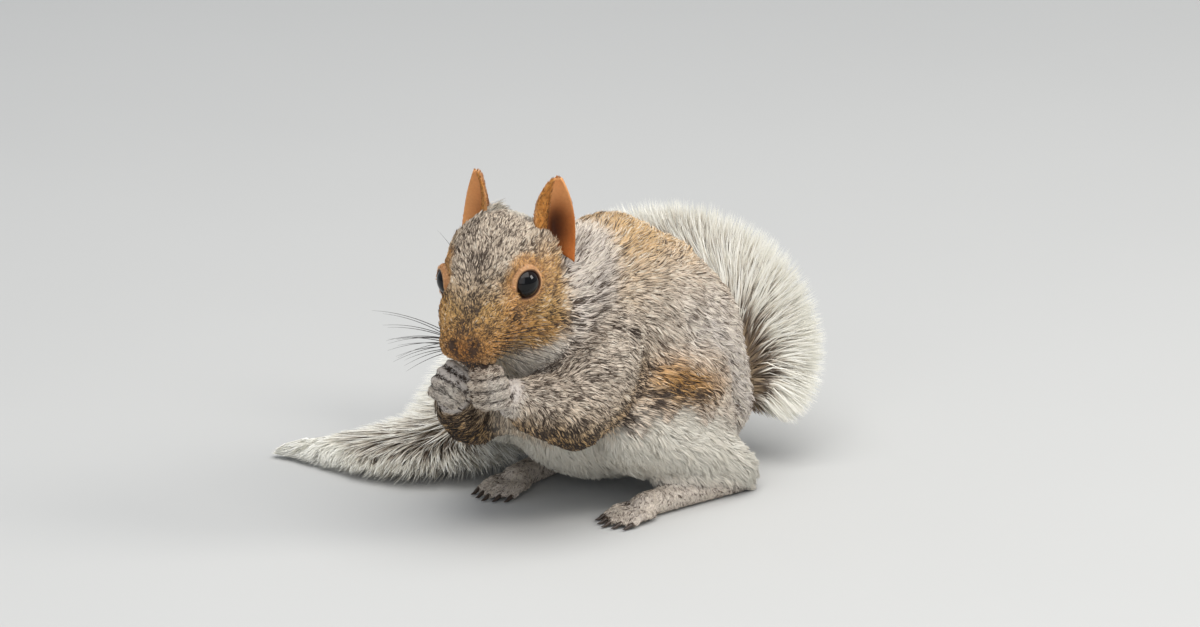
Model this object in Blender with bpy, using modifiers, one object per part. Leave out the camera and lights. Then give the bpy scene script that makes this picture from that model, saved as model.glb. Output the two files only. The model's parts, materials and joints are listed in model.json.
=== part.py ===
"""A grey squirrel, life size, crouched on its haunches with both forepaws at its mouth.

Places and sizes are in millimetres and turned to metres where a mesh is made. The body faces -Y,
its left side is +X, and the ground is Z = 0. The head is described level, in a frame of its own
that faces -Y, and is then turned, tipped and set on the neck. Everything reaches out to the tips
of the coat. The head and trunk are one fused form, parted with thin cuts, and the legs and tail
are fused forms of their own that stop just short of it.
"""

import math

import bmesh
import bpy
from mathutils import Matrix, Vector

MM = 0.001
GAP = 0.3  # left between pieces that touch
SIDES = {"left": 1.0, "right": -1.0}
PLACE = (23.23, -0.56, 0.0)  # moves the squirrel so that its origin is under the middle of its box

# The head, in its own frame: its middle is the origin, the nose points along -Y.
HEAD_AT = (9.5, -55.6, 84.0)
HEAD_YAW, HEAD_PITCH, HEAD_ROLL = 31.0, 12.0, 2.0  # degrees: turned left, tipped down, left side up
EYE_AT = (14.2, -4.0, 5.0)  # the left one
EYE_RADIUS = 5.4
# Base and tip of each ear. The right one is held closer to the crown than the left.
EARS = {
    "left": ((17.5, 19.5, 7.5), (17.5, 25.0, 30.5)),
    "right": ((-14.0, 20.0, 9.5), (-10.0, 25.5, 31.0)),
}
EAR_OPENING = (0.67, -0.70, 0.20)
EAR_WIDTH, EAR_CUP, EAR_THICK = 15.0, 4.5, 1.2
EAR_FORWARD = 2.0  # how far its rims stand ahead of the line from base to tip
EAR_SLANT = 0.24  # how much higher than its outer corner the inner one starts, as a part of the length
# Sections of the head from nose to nape: place along it, half width, top and bottom.
HEAD_SECTIONS = (
    (-31.5, 3.4, -5.0, -10.8),
    (-30.2, 6.0, -2.8, -13.2),
    (-27.2, 8.6, 0.6, -15.2),
    (-22.8, 11.0, 5.2, -17.4),
    (-17.5, 13.2, 10.4, -19.4),
    (-11.5, 15.4, 15.2, -21.0),
    (-5.0, 17.2, 18.8, -22.0),
    (3.0, 18.8, 21.4, -22.4),
    (11.0, 19.6, 22.4, -21.6),
    (18.0, 19.4, 21.2, -19.4),
    (25.0, 17.4, 17.0, -15.0),
    (31.0, 11.5, 9.5, -8.0),
)
HEAD_SIDES = 28
THROAT_NARROWING = 0.12  # how much narrower the underside is than the top
# Masses on each side of the head: middle on the left one, then radii.
CHEEK = ((10.0, 6.0, -9.0), (10.0, 14.0, 11.0))
BROW = ((12.6, -5.0, 8.5), (5.4, 8.0, 5.0))
WHISKER_PAD = ((6.0, -23.5, -9.0), (5.6, 6.5, 5.6))

# Masses of the neck and trunk: middle, then half width, half length and half height.
TRUNK_MASSES = (
    ((4.0, -40.0, 70.0), (22.0, 22.0, 24.0)),
    ((3.0, -26.0, 62.0), (26.0, 24.0, 31.0)),
    ((1.0, -10.0, 60.0), (30.0, 28.0, 37.0)),
    ((0.0, 6.0, 58.0), (32.0, 32.0, 40.5)),
    ((0.0, 20.0, 54.0), (32.5, 32.0, 39.0)),
    ((0.0, 32.0, 45.0), (32.0, 29.5, 37.0)),
    ((0.0, 40.0, 32.0), (29.0, 24.5, 29.0)),
    ((0.0, 4.0, 34.0), (31.0, 43.0, 32.0)),
    ((1.0, -34.0, 47.0), (21.0, 18.0, 23.0)),
)
# Where the trunk is parted, and the way ahead there. The head's cut is in the head's own frame.
HEAD_CUT = ((0.0, 12.0, -6.0), (0.0, -0.8, 0.6))
NECK_CUT = ((3.0, -30.0, 70.0), (0.15, -0.75, 0.64))
LOIN_CUT = ((0.0, 22.0, 50.0), (0.0, -1.0, 0.15))

# Each limb is a chain of points with the radius of the coat there.
ARMS = {
    "left": {
        "shoulder": ((20.0, -18.0, 60.0), 17.5),
        "upper_arm": ((27.0, -27.0, 50.0), 16.5),
        "elbow": ((32.0, -38.0, 42.0), 13.5),
        "forearm": ((28.0, -51.0, 46.5), 11.0),
        "wrist": ((25.0, -61.5, 51.0), 7.5),
        "paw": (23.5, -69.5, 54.8),
    },
    "right": {
        "shoulder": ((-18.0, -20.0, 57.0), 16.5),
        "upper_arm": ((-16.0, -35.0, 45.0), 14.5),
        "elbow": ((-9.0, -48.0, 34.5), 12.0),
        "forearm": ((-1.0, -59.5, 41.0), 10.0),
        "wrist": ((5.5, -68.5, 48.0), 7.5),
        "paw": (10.0, -76.0, 54.2),
    },
}
WRIST_RADIUS, PAW_RADIUS = 6.6, 5.4
FINGER_RADIUS, FINGER_LENGTH, FINGER_SPACING = 1.7, 9.0, 3.0

GROUND = ((0.0, 0.0, 0.0), (0.0, 0.0, -1.0))  # a plane that cuts away what lies below it

LEGS = {
    "left": {"heel": (33.0, 34.0), "toes": (35.0, -27.0), "knee": (29.0, -13.0, 30.0)},
    "right": {"heel": (-28.0, 22.0), "toes": (-13.0, -41.0), "knee": (-23.0, -24.0, 28.0)},
}
THIGH_MIDDLE, THIGH_RADII = (22.0, 11.0, 35.0), (17.0, 28.0, 27.0)
FLANK_MIDDLE, FLANK_RADII = (24.0, 10.0, 24.0), (14.5, 30.0, 18.0)  # the belly's fur over the shin
KNEE_RADIUS, SHIN_RADIUS, FOOT_RADIUS = 13.0, 9.0, 6.0
TOE_RADIUS, TOE_LENGTH, TOE_SPACING = 3.0, 16.0, 2.6
BALL_OF_FOOT = 0.72  # where the toes start, as a part of the way from heel to toes
# How far the soles and toes are pressed below the ground, which cuts them flat.
HEEL_SINKS, TOES_SINK = 0.3, 1.4

# The tail: points of its core, the way its outer fringe points, half width and half thickness.
TAIL = (
    ((0.0, 58.0, 16.0), (0.95, 0.2, 0.1), 15.0, 12.0),
    ((-2.0, 65.0, 28.0), (0.9, 0.4, 0.15), 27.0, 12.0),
    ((-12.0, 68.0, 42.0), (0.7, 0.4, 0.6), 34.0, 12.5),
    ((-29.0, 66.0, 50.0), (0.15, 0.35, 0.92), 32.0, 13.0),
    ((-45.0, 56.0, 50.0), (-0.35, 0.25, 0.9), 31.0, 13.0),
    ((-55.0, 36.0, 42.0), (-0.75, 0.15, 0.6), 32.0, 13.0),
    ((-57.0, 12.0, 26.0), (-0.95, 0.1, 0.3), 33.0, 12.5),
    ((-54.0, -10.0, 14.0), (-0.95, 0.3, 0.1), 33.0, 12.0),
    ((-57.0, -28.0, 10.0), (-0.85, 0.5, 0.0), 31.0, 11.0),
    ((-66.0, -40.0, 8.0), (-0.75, 0.65, 0.0), 25.0, 9.0),
    ((-80.0, -52.0, 6.0), (-0.7, 0.7, 0.0), 12.0, 6.5),
    ((-90.0, -59.0, 5.0), (-0.7, 0.7, 0.0), 3.0, 2.5),
)
TAIL_LENGTHS = 5
TAIL_SIDES = 12
TAIL_STEPS = 2  # sections between two of the points above

CORE_VOXEL, LIMB_VOXEL = 1.6, 1.2
# Triangles of each fused body, before it is parted.
FACES = {"head": 3300, "trunk": 1000, "arm": 760, "thigh": 300, "foot": 440}

BALL_SEGMENTS, BALL_RINGS = 24, 14
COAT_COLOURS = {
    "grey": (0.30, 0.26, 0.21),
    "tan": (0.42, 0.31, 0.20),
    "silver": (0.50, 0.47, 0.43),
    "orange": (0.50, 0.25, 0.10),
    "pale": (0.62, 0.58, 0.50),
}
COAT_ROUGHNESS = 0.85
EYE_COLOUR, EYE_ROUGHNESS = (0.01, 0.008, 0.008), 0.06


def clear_scene():
    for old in list(bpy.data.objects):
        bpy.data.objects.remove(old, do_unlink=True)


def collection(name):
    made = bpy.data.collections.new(name)
    bpy.context.scene.collection.children.link(made)
    return made


def head_frame():
    """Takes a point of the level head to its place on the body."""
    turn = Matrix.Rotation(math.radians(HEAD_YAW), 4, "Z")
    tip = Matrix.Rotation(math.radians(HEAD_PITCH), 4, "X")
    tilt = Matrix.Rotation(math.radians(-HEAD_ROLL), 4, "Y")
    return Matrix.Translation(HEAD_AT) @ turn @ tip @ tilt


def material(name, colour, roughness):
    made = bpy.data.materials.new(name)
    made.use_nodes = True
    shader = made.node_tree.nodes["Principled BSDF"]
    shader.inputs["Base Color"].default_value = (*colour, 1.0)
    shader.inputs["Roughness"].default_value = roughness
    shader.inputs["Metallic"].default_value = 0.0
    made.diffuse_color = (*colour, 1.0)
    return made


def add_ball(bm, middle, radii, turn=None):
    """An ellipsoid added to the bmesh, with the turn applied about its own middle."""
    place = Matrix.Translation(middle) @ (turn or Matrix()) @ Matrix.Diagonal((*radii, 1.0))
    bmesh.ops.create_uvsphere(bm, u_segments=BALL_SEGMENTS, v_segments=BALL_RINGS, radius=1.0,
                              matrix=place)


def add_chain(bm, points):
    """A rounded limb through points with radii: a ball at each and a cone between two."""
    for middle, radius in points:
        add_ball(bm, middle, (radius, radius, radius))
    for (start, first), (end, second) in zip(points, points[1:]):
        along = Vector(end) - Vector(start)
        turn = along.to_track_quat("Z", "Y").to_matrix().to_4x4()
        place = Matrix.Translation((Vector(start) + Vector(end)) / 2) @ turn
        bmesh.ops.create_cone(bm, cap_ends=True, segments=BALL_SEGMENTS, radius1=first,
                              radius2=second, depth=along.length, matrix=place)


def object_of(name, bm, group):
    """An object in the group from a bmesh in millimetres."""
    mesh = bpy.data.meshes.new(name)
    bmesh.ops.transform(bm, matrix=Matrix.Scale(MM, 4), verts=bm.verts)
    bm.to_mesh(mesh)
    bm.free()
    made = bpy.data.objects.new(name, mesh)
    group.objects.link(made)
    return made


def stowed(obj):
    """Marks a helper, which isn't a piece of the squirrel."""
    obj.hide_render = True
    obj.display_type = "WIRE"
    return obj


def applied(obj):
    """The object with its modifiers made part of its mesh."""
    bpy.context.view_layer.update()
    graph = bpy.context.evaluated_depsgraph_get()
    mesh = bpy.data.meshes.new_from_object(obj.evaluated_get(graph))
    obj.modifiers.clear()
    obj.data = mesh
    return obj


def fused(name, bm, group, voxel, smoothing):
    """One smooth closed body from the overlapping shells of a bmesh."""
    made = object_of(name, bm, group)
    remesh = made.modifiers.new("fuse", "REMESH")
    remesh.mode = "VOXEL"
    remesh.voxel_size = voxel * MM
    smooth = made.modifiers.new("soften", "SMOOTH")
    smooth.factor = 0.5
    smooth.iterations = smoothing
    return applied(made)


def thinned(source, name, group, faces):
    """A copy of a body with about this many triangles."""
    made = bpy.data.objects.new(name, source.data.copy())
    group.objects.link(made)
    thin = made.modifiers.new("thin", "DECIMATE")
    thin.ratio = min(1.0, faces / (2.0 * len(source.data.polygons)))
    return applied(made)


def swollen(source, name, group, by=GAP):
    """A copy of a body grown by a gap, to cut its neighbours with."""
    made = stowed(bpy.data.objects.new(name, source.data.copy()))
    group.objects.link(made)
    grow = made.modifiers.new("grow", "DISPLACE")
    grow.strength = by * MM
    grow.mid_level = 0.0
    return applied(made)


def keep_largest(bm):
    """Removes every loose piece of the bmesh but the largest."""
    left, pieces = set(bm.verts), []
    while left:
        reached, edge = set(), [left.pop()]
        while edge:
            vert = edge.pop()
            reached.add(vert)
            for other in (link.other_vert(vert) for link in vert.link_edges):
                if other in left:
                    left.discard(other)
                    edge.append(other)
        pieces.append(reached)
    pieces.sort(key=len)
    for small in pieces[:-1]:
        bmesh.ops.delete(bm, geom=list(small), context="VERTS")


def edited(obj, change):
    """Runs a change on the object's mesh as a bmesh."""
    bm = bmesh.new()
    bm.from_mesh(obj.data)
    change(bm)
    bm.to_mesh(obj.data)
    bm.free()
    return obj


def sliced(obj, at, normal):
    """Cuts away what lies ahead of a plane, given in millimetres, and closes the cut."""

    def cut(bm):
        everything = bm.verts[:] + bm.edges[:] + bm.faces[:]
        bmesh.ops.bisect_plane(bm, geom=everything, dist=1e-6, plane_co=Vector(at) * MM,
                               plane_no=normal, clear_outer=True)
        rim = [edge for edge in bm.edges if edge.is_boundary]
        bmesh.ops.holes_fill(bm, edges=rim, sides=0)
        bmesh.ops.triangulate(bm, faces=[face for face in bm.faces if len(face.verts) > 4])
        keep_largest(bm)
        bmesh.ops.recalc_face_normals(bm, faces=bm.faces)

    return edited(obj, cut)


def less(obj, *cutters):
    """Cuts each cutter away from the object and keeps its largest piece."""
    for cutter in cutters:
        cut = obj.modifiers.new("less_" + cutter.name, "BOOLEAN")
        cut.operation = "DIFFERENCE"
        cut.object = cutter
        applied(obj)
        edited(obj, keep_largest)
    return obj


def between(source, name, group, *planes):
    """A node: a copy of a body, kept on the near side of each plane."""
    made = bpy.data.objects.new(name, source.data.copy())
    group.objects.link(made)
    for at, normal in planes:
        sliced(made, at, normal)
    return made


def facing_pair(at, direction):
    """Two planes a gap apart: the first ends the piece behind, the second the piece ahead."""
    direction = Vector(direction).normalized()
    half = direction * GAP / 2
    return (tuple(Vector(at) - half), tuple(direction)), (tuple(Vector(at) + half), tuple(-direction))


def add_head(bm):
    """The head as a loft of rounded sections, with cheeks, brows and whisker pads."""
    frame = head_frame()
    rings = []
    for along, half_width, top, bottom in HEAD_SECTIONS:
        middle, half_height = (top + bottom) / 2, (top - bottom) / 2
        ring = []
        for step in range(HEAD_SIDES):
            angle = 2 * math.pi * step / HEAD_SIDES
            across, up = math.cos(angle), math.sin(angle)
            across *= 1.0 - THROAT_NARROWING * max(0.0, -up)
            place = Vector((half_width * across, along, middle + half_height * up))
            ring.append(bm.verts.new(frame @ place))
        rings.append(ring)
    edges = [[bm.edges.new((a, b)) for a, b in zip(ring, ring[1:] + ring[:1])] for ring in rings]
    for first, second in zip(edges, edges[1:]):
        bmesh.ops.bridge_loops(bm, edges=first + second)
    bm.faces.new(rings[0])
    bm.faces.new(rings[-1])
    turn = frame.to_3x3().to_4x4()
    for side in SIDES.values():
        for (out, along, up), radii in (CHEEK, BROW, WHISKER_PAD):
            add_ball(bm, frame @ Vector((side * out, along, up)), radii, turn)


def core_body(group):
    """The head and trunk in one: the trunk is softened most, and the head keeps its shape."""
    bm = bmesh.new()
    for middle, radii in TRUNK_MASSES:
        add_ball(bm, middle, radii)
    trunk = fused("trunk_whole", bm, group, CORE_VOXEL, 30)
    bm = bmesh.new()
    bm.from_mesh(trunk.data)
    bmesh.ops.transform(bm, matrix=Matrix.Scale(1 / MM, 4), verts=bm.verts)
    add_head(bm)
    stowed(trunk)
    return stowed(fused("core", bm, group, CORE_VOXEL, 6))


def eye(name, side, group):
    frame = head_frame()
    bm = bmesh.new()
    middle = frame @ Vector((side * EYE_AT[0], EYE_AT[1], EYE_AT[2]))
    bmesh.ops.create_uvsphere(bm, u_segments=12, v_segments=8, radius=EYE_RADIUS,
                              matrix=Matrix.Translation(middle))
    return object_of("eye_" + name, bm, group)


def ear(name, side, group):
    """A cupped leaf, open outwards and forwards, with an even wall."""
    frame = head_frame()
    mirror = Vector((side, 1.0, 1.0))
    base, tip = (mirror * Vector(point) for point in EARS[name])
    opening = Vector(EAR_OPENING).normalized()
    across = (tip - base).cross(opening).normalized()
    bm = bmesh.new()
    bmesh.ops.create_grid(bm, x_segments=5, y_segments=6, size=1.0)
    for vert in bm.verts:
        s, t = vert.co.x, (vert.co.y + 1) / 2
        width = EAR_WIDTH / 2 * (0.95 + 0.25 * t - 1.02 * t**2.8)
        depth = EAR_CUP * (1 - t) ** 0.5 + 0.8
        lean = 3.0 * t * (1 - t)
        rise = t - EAR_SLANT * s * (1 - t)
        back = depth * (1 - s * s) + lean - EAR_FORWARD
        place = base.lerp(tip, rise) + across * (s * width) - opening * back
        place.x *= side
        vert.co = frame @ place
    bmesh.ops.recalc_face_normals(bm, faces=bm.faces)
    made = object_of("ear_" + name, bm, group)
    wall = made.modifiers.new("wall", "SOLIDIFY")
    wall.thickness = EAR_THICK * MM
    wall.offset = 0.0
    applied(made)
    return edited(made, lambda bm: bmesh.ops.recalc_face_normals(bm, faces=bm.faces))


def arm(name, side, group, spare, cutters):
    """A fused foreleg, parted at the elbow and the wrist."""
    sizes = ARMS[name]
    bm = bmesh.new()
    add_chain(bm, [sizes[part] for part in ("shoulder", "upper_arm", "elbow", "forearm", "wrist")])
    wrist, paw = Vector(sizes["wrist"][0]), Vector(sizes["paw"])
    reach = (paw - wrist).normalized()
    add_chain(bm, ((tuple(wrist), WRIST_RADIUS), (tuple(paw), PAW_RADIUS)))
    # Four fingers curl in towards the other paw and up to the mouth.
    inward = Vector((-side, -0.35, 0.15)).normalized()
    inward = (inward - reach * inward.dot(reach)).normalized()
    spread = reach.cross(inward).normalized()
    for finger in range(4):
        root = paw + reach * 2.0 + spread * (finger - 1.5) * FINGER_SPACING
        middle = root + reach * FINGER_LENGTH * 0.45 + inward * 1.0
        end = middle + reach * FINGER_LENGTH * 0.2 + inward * FINGER_LENGTH * 0.42
        add_chain(bm, tuple((tuple(point), FINGER_RADIUS) for point in (root, middle, end)))
    bmesh.ops.recalc_face_normals(bm, faces=bm.faces)
    fine = stowed(fused("arm_fine_" + name, bm, spare, LIMB_VOXEL, 3))
    whole = stowed(thinned(fine, "arm_whole_" + name, spare, FACES["arm"]))
    down = Vector(sizes["forearm"][0]) - Vector(sizes["upper_arm"][0])
    upper_end, lower_start = facing_pair(sizes["elbow"][0], down)
    lower_end, paw_start = facing_pair(wrist, reach)
    nodes = [
        between(whole, "upper_arm_" + name, group, upper_end),
        between(whole, "forearm_" + name, group, lower_start, lower_end),
        between(whole, "forepaw_" + name, group, paw_start),
    ]
    for node in nodes:
        less(node, *cutters)
    return nodes


def leg(name, group, spare, cutters):
    """A fused thigh and shin, and a fused foot that lies flat on the ground."""
    sizes = LEGS[name]
    side = SIDES[name]
    heel = Vector((*sizes["heel"], FOOT_RADIUS - HEEL_SINKS))
    toes = Vector((*sizes["toes"], FOOT_RADIUS - TOES_SINK))
    bm = bmesh.new()
    add_ball(bm, (side * THIGH_MIDDLE[0], *THIGH_MIDDLE[1:]), THIGH_RADII)
    add_ball(bm, (side * FLANK_MIDDLE[0], *FLANK_MIDDLE[1:]), FLANK_RADII)
    add_chain(bm, ((sizes["knee"], KNEE_RADIUS), ((*sizes["heel"], SHIN_RADIUS - 1.0), SHIN_RADIUS)))
    thigh_fine = stowed(fused("thigh_fine_" + name, bm, spare, CORE_VOXEL, 10))

    bm = bmesh.new()
    along = (toes - heel).normalized()
    spread = Vector((-along.y, along.x, 0.0)).normalized()
    ball = heel.lerp(toes, BALL_OF_FOOT)
    add_chain(bm, ((tuple(heel), FOOT_RADIUS + 0.6), (tuple(ball), FOOT_RADIUS - 0.4)))
    for toe in range(5):
        off_middle = toe - 2
        reach = TOE_LENGTH * (1.0 - 0.1 * abs(off_middle) ** 1.3)
        root = ball + spread * off_middle * TOE_SPACING
        end = root + along * reach + spread * off_middle * 0.9
        root.z, end.z = TOE_RADIUS - 0.4, TOE_RADIUS - TOES_SINK
        add_chain(bm, ((tuple(root), TOE_RADIUS), (tuple(end), TOE_RADIUS - 1.1)))
    foot_fine = stowed(fused("foot_fine_" + name, bm, spare, LIMB_VOXEL, 3))

    thigh = stowed(thinned(thigh_fine, "thigh_whole_" + name, spare, FACES["thigh"]))
    foot = stowed(thinned(foot_fine, "foot_whole_" + name, spare, FACES["foot"]))
    foot_node = between(foot, "hind_foot_" + name, group, GROUND)
    foot_cutter = swollen(foot_node, "foot_cutter_" + name, spare)
    thigh_node = between(thigh, "thigh_" + name, group, GROUND)
    less(thigh_node, foot_cutter, *cutters)
    less(foot_node, *cutters)
    return [thigh_node, foot_node]


def smooth_between(values, position):
    """A Catmull-Rom value of a list of vectors at a whole-and-part position."""
    last = len(values) - 1
    start = min(int(position), last - 1)
    t = position - start
    a, b, c, d = (Vector(values[max(0, min(last, start + step))]) for step in (-1, 0, 1, 2))
    return 0.5 * (2 * b + (c - a) * t + (2 * a - 5 * b + 4 * c - d) * t**2 + (3 * b - a - 3 * c + d) * t**3)


def tail_section(position):
    """Middle, direction, fringe direction, half width and half thickness of the tail."""
    points = [row[0] for row in TAIL]
    middle = smooth_between(points, position)
    ahead = smooth_between(points, position + 0.02) - smooth_between(points, position - 0.02)
    ahead.normalize()
    outer = smooth_between([row[1] for row in TAIL], position)
    outer = (outer - ahead * outer.dot(ahead)).normalized()
    sizes = smooth_between([(row[2], row[3], 0.0) for row in TAIL], position)
    return middle, ahead, outer, max(2.0, sizes.x), max(1.5, sizes.y)


def tail_length(number, group, cutters):
    """One length of the brush: rounded sections bridged one to the next."""
    span = (len(TAIL) - 1.0) / TAIL_LENGTHS
    steps = max(3, round(span * TAIL_STEPS))
    bm = bmesh.new()
    rings = []
    for step in range(steps + 1):
        position = min(len(TAIL) - 1.001, span * (number + step / steps))
        middle, ahead, outer, half_width, half_thick = tail_section(position)
        if number and step == 0:
            middle = middle + ahead * GAP
        up = ahead.cross(outer)
        ring = []
        for turn in range(TAIL_SIDES):
            angle = 2 * math.pi * turn / TAIL_SIDES
            offset = outer * (half_width * math.cos(angle)) + up * (half_thick * math.sin(angle))
            ring.append(bm.verts.new(middle + offset))
        rings.append(ring)
    edges = [[bm.edges.new((a, b)) for a, b in zip(ring, ring[1:] + ring[:1])] for ring in rings]
    for first, second in zip(edges, edges[1:]):
        bmesh.ops.bridge_loops(bm, edges=first + second)
    bm.faces.new(rings[0])
    bm.faces.new(rings[-1])
    bmesh.ops.triangulate(bm, faces=bm.faces)
    bmesh.ops.recalc_face_normals(bm, faces=bm.faces)
    made = object_of("tail_" + str(number + 1), bm, group)
    sliced(made, *GROUND)
    return less(made, *cutters)


def coated(nodes, colour):
    """Gives each of the nodes a coat of its own in a named colour."""
    for node in nodes:
        node.data.materials.clear()
        coat = material(node.name + "_coat", COAT_COLOURS[colour], COAT_ROUGHNESS)
        node.data.materials.append(coat)


def squirrel():
    clear_scene()
    group, spare = collection("grey_squirrel"), collection("cutters")
    core = core_body(spare)

    frame = head_frame()
    head_cut_at, head_cut_way = (Vector(part) for part in HEAD_CUT)
    neck_end, head_start = facing_pair(frame @ head_cut_at, frame.to_3x3() @ head_cut_way)
    chest_end, neck_start = facing_pair(*NECK_CUT)
    rump_end, chest_start = facing_pair(*LOIN_CUT)
    fine = stowed(thinned(core, "core_for_head", spare, FACES["head"]))
    plain = stowed(thinned(core, "core_for_trunk", spare, FACES["trunk"]))
    head = between(fine, "head", group, head_start)
    neck = between(plain, "neck", group, neck_start, neck_end)
    chest = between(plain, "chest", group, chest_start, chest_end, GROUND)
    rump = between(plain, "rump", group, rump_end, GROUND)

    eyes = [eye(name, side, group) for name, side in SIDES.items()]
    ears = [ear(name, side, group) for name, side in SIDES.items()]
    less(head, *(swollen(one, one.name + "_cutter", spare) for one in eyes))
    trunk_cutter = swollen(plain, "trunk_cutter", spare, 2 * GAP)
    core_cutters = [trunk_cutter, swollen(head, "head_cutter", spare)]
    for one in ears:
        less(one, *core_cutters)

    legs = [leg(name, group, spare, [trunk_cutter]) for name in LEGS]
    leg_cutters = [swollen(node, node.name + "_cutter", spare) for nodes in legs for node in nodes]
    arms = []
    arm_cutters = core_cutters + leg_cutters
    for name, side in SIDES.items():
        arms.append(arm(name, side, group, spare, arm_cutters))
        arm_cutters = arm_cutters + [swollen(node, node.name + "_cutter", spare) for node in arms[-1]]
    behind = [trunk_cutter] + leg_cutters
    tail = [tail_length(number, group, behind) for number in range(TAIL_LENGTHS)]

    coated([neck, chest, rump], "grey")
    coated([head], "tan")
    coated(ears, "orange")
    coated(tail, "pale")
    for upper_arm, forearm, forepaw in arms:
        coated([upper_arm, forearm], "grey")
        coated([forepaw], "silver")
    for thigh, foot in legs:
        coated([thigh], "grey")
        coated([foot], "silver")
    for one in eyes:
        one.data.materials.append(material(one.name + "_gloss", EYE_COLOUR, EYE_ROUGHNESS))
    for node in group.objects:
        node.data.transform(Matrix.Translation(Vector(PLACE) * MM))
        node.data.shade_smooth()


squirrel()
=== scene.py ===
# %% [markdown]
# # A grey squirrel, life size
# The model is a wild animal as a museum would show it: crouched on its haunches, with both
# forepaws at its mouth and the brush of its tail curled round behind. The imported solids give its
# outline out to the tips of the fur. Here they get one continuous skin, sunk into them by the
# depth of the coat, and then the coat itself: hundreds of thousands of thin tufts that follow the
# lie of the hair. Hands, feet, ears and eyelids are finer than the solids, so they are made anew.
# Everything is worked out in millimetres and made in metres.

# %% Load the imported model
import heapq
import json
import math
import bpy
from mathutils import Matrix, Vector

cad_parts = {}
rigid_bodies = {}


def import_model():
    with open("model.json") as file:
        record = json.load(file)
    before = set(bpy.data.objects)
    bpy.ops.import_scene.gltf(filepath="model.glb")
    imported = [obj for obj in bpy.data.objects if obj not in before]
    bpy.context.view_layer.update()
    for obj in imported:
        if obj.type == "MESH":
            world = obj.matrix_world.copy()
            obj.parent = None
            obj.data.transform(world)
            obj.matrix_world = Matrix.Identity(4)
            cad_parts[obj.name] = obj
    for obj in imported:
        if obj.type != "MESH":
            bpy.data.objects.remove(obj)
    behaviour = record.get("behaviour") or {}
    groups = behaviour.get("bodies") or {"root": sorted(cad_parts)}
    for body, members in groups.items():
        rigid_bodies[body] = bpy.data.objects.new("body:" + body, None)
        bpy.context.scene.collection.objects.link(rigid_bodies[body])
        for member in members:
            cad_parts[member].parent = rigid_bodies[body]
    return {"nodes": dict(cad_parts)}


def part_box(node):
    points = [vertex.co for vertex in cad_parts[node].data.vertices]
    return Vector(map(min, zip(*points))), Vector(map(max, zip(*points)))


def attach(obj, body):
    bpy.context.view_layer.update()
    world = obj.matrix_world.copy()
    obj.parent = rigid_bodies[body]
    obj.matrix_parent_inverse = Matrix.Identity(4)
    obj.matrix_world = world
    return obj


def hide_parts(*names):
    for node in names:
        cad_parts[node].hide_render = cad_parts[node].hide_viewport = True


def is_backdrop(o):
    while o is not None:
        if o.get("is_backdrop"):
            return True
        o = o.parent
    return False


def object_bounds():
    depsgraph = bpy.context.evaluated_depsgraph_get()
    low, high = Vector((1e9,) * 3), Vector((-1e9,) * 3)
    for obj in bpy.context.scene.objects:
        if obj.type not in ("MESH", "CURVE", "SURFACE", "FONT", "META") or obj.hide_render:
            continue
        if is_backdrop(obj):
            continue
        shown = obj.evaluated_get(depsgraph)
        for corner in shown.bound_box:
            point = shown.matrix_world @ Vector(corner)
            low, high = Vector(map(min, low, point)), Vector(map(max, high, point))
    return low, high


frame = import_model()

from types import SimpleNamespace

import bmesh
import bpy
import numpy as np
from mathutils import Matrix, Vector
from mathutils.bvhtree import BVHTree
from mathutils.kdtree import KDTree

MM = 0.001
SEED = 2
cad_low, cad_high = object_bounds()
chance = np.random.default_rng(SEED)
print("solids:", len(frame["nodes"]), "box:", [round(v / MM) for v in cad_high - cad_low], "mm")

# %% [markdown]
# ## A frame for the head
# The head is turned to the animal's left, tipped down and tilted a little, so every feature of
# the face is placed in a frame of the head's own: +X to its left, -Y along the nose, +Z up. The
# frame hangs from the middle between the two eyes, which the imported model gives.

# %% The head's frame
HEAD_TURN, HEAD_NOD, HEAD_TILT = 31.0, 12.0, 2.0  # degrees
EYES_IN_HEAD = Vector((0.0, -4.0, 5.0))


def middle_of(node):
    """The middle of a solid's box, in millimetres."""
    low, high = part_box(node)
    return (Vector(low) + Vector(high)) / 2 / MM


turned = Matrix.Rotation(math.radians(HEAD_TURN), 3, "Z")
nodded = Matrix.Rotation(math.radians(HEAD_NOD), 3, "X")
tilted = Matrix.Rotation(math.radians(-HEAD_TILT), 3, "Y")
head_turn = turned @ nodded @ tilted
head_at = (middle_of("eye_left") + middle_of("eye_right")) / 2 - head_turn @ EYES_IN_HEAD
HEAD = np.array(head_turn)
HEAD_AT = np.array(head_at)


def in_head(points):
    """Points of the body, seen from the head's frame."""
    return (points - HEAD_AT) @ HEAD


def from_head(points):
    """Points of the head's frame, placed on the body."""
    return np.asarray(points, float) @ HEAD.T + HEAD_AT


print("middle of the head:", [round(v, 1) for v in head_at])

# %% [markdown]
# ## Helpers for vectors and for soft edges
# The same few sums come up all the way through: a unit vector, a soft step between two values
# and a soft spot round a place.

# %% Vectors, steps and spots
def unit(vectors):
    """Vectors scaled to length one, a row each."""
    length = np.linalg.norm(vectors, axis=-1, keepdims=True)
    return vectors / np.maximum(length, 1e-9)


def dot(a, b):
    """Row by row products of two lists of vectors, kept as a column."""
    return (a * b).sum(-1, keepdims=True)


def step(values, low, high):
    """0 below low and 1 above high, with a smooth rise between. High may be the lower one."""
    share = np.clip((values - low) / (high - low), 0.0, 1.0)
    return share * share * (3 - 2 * share)


def spot(points, place, reach):
    """1 at a place, falling off smoothly to each side over its reach, given for each axis."""
    away = ((points - np.array(place)) / np.array(reach)) ** 2
    return np.exp(-away.sum(-1))


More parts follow.
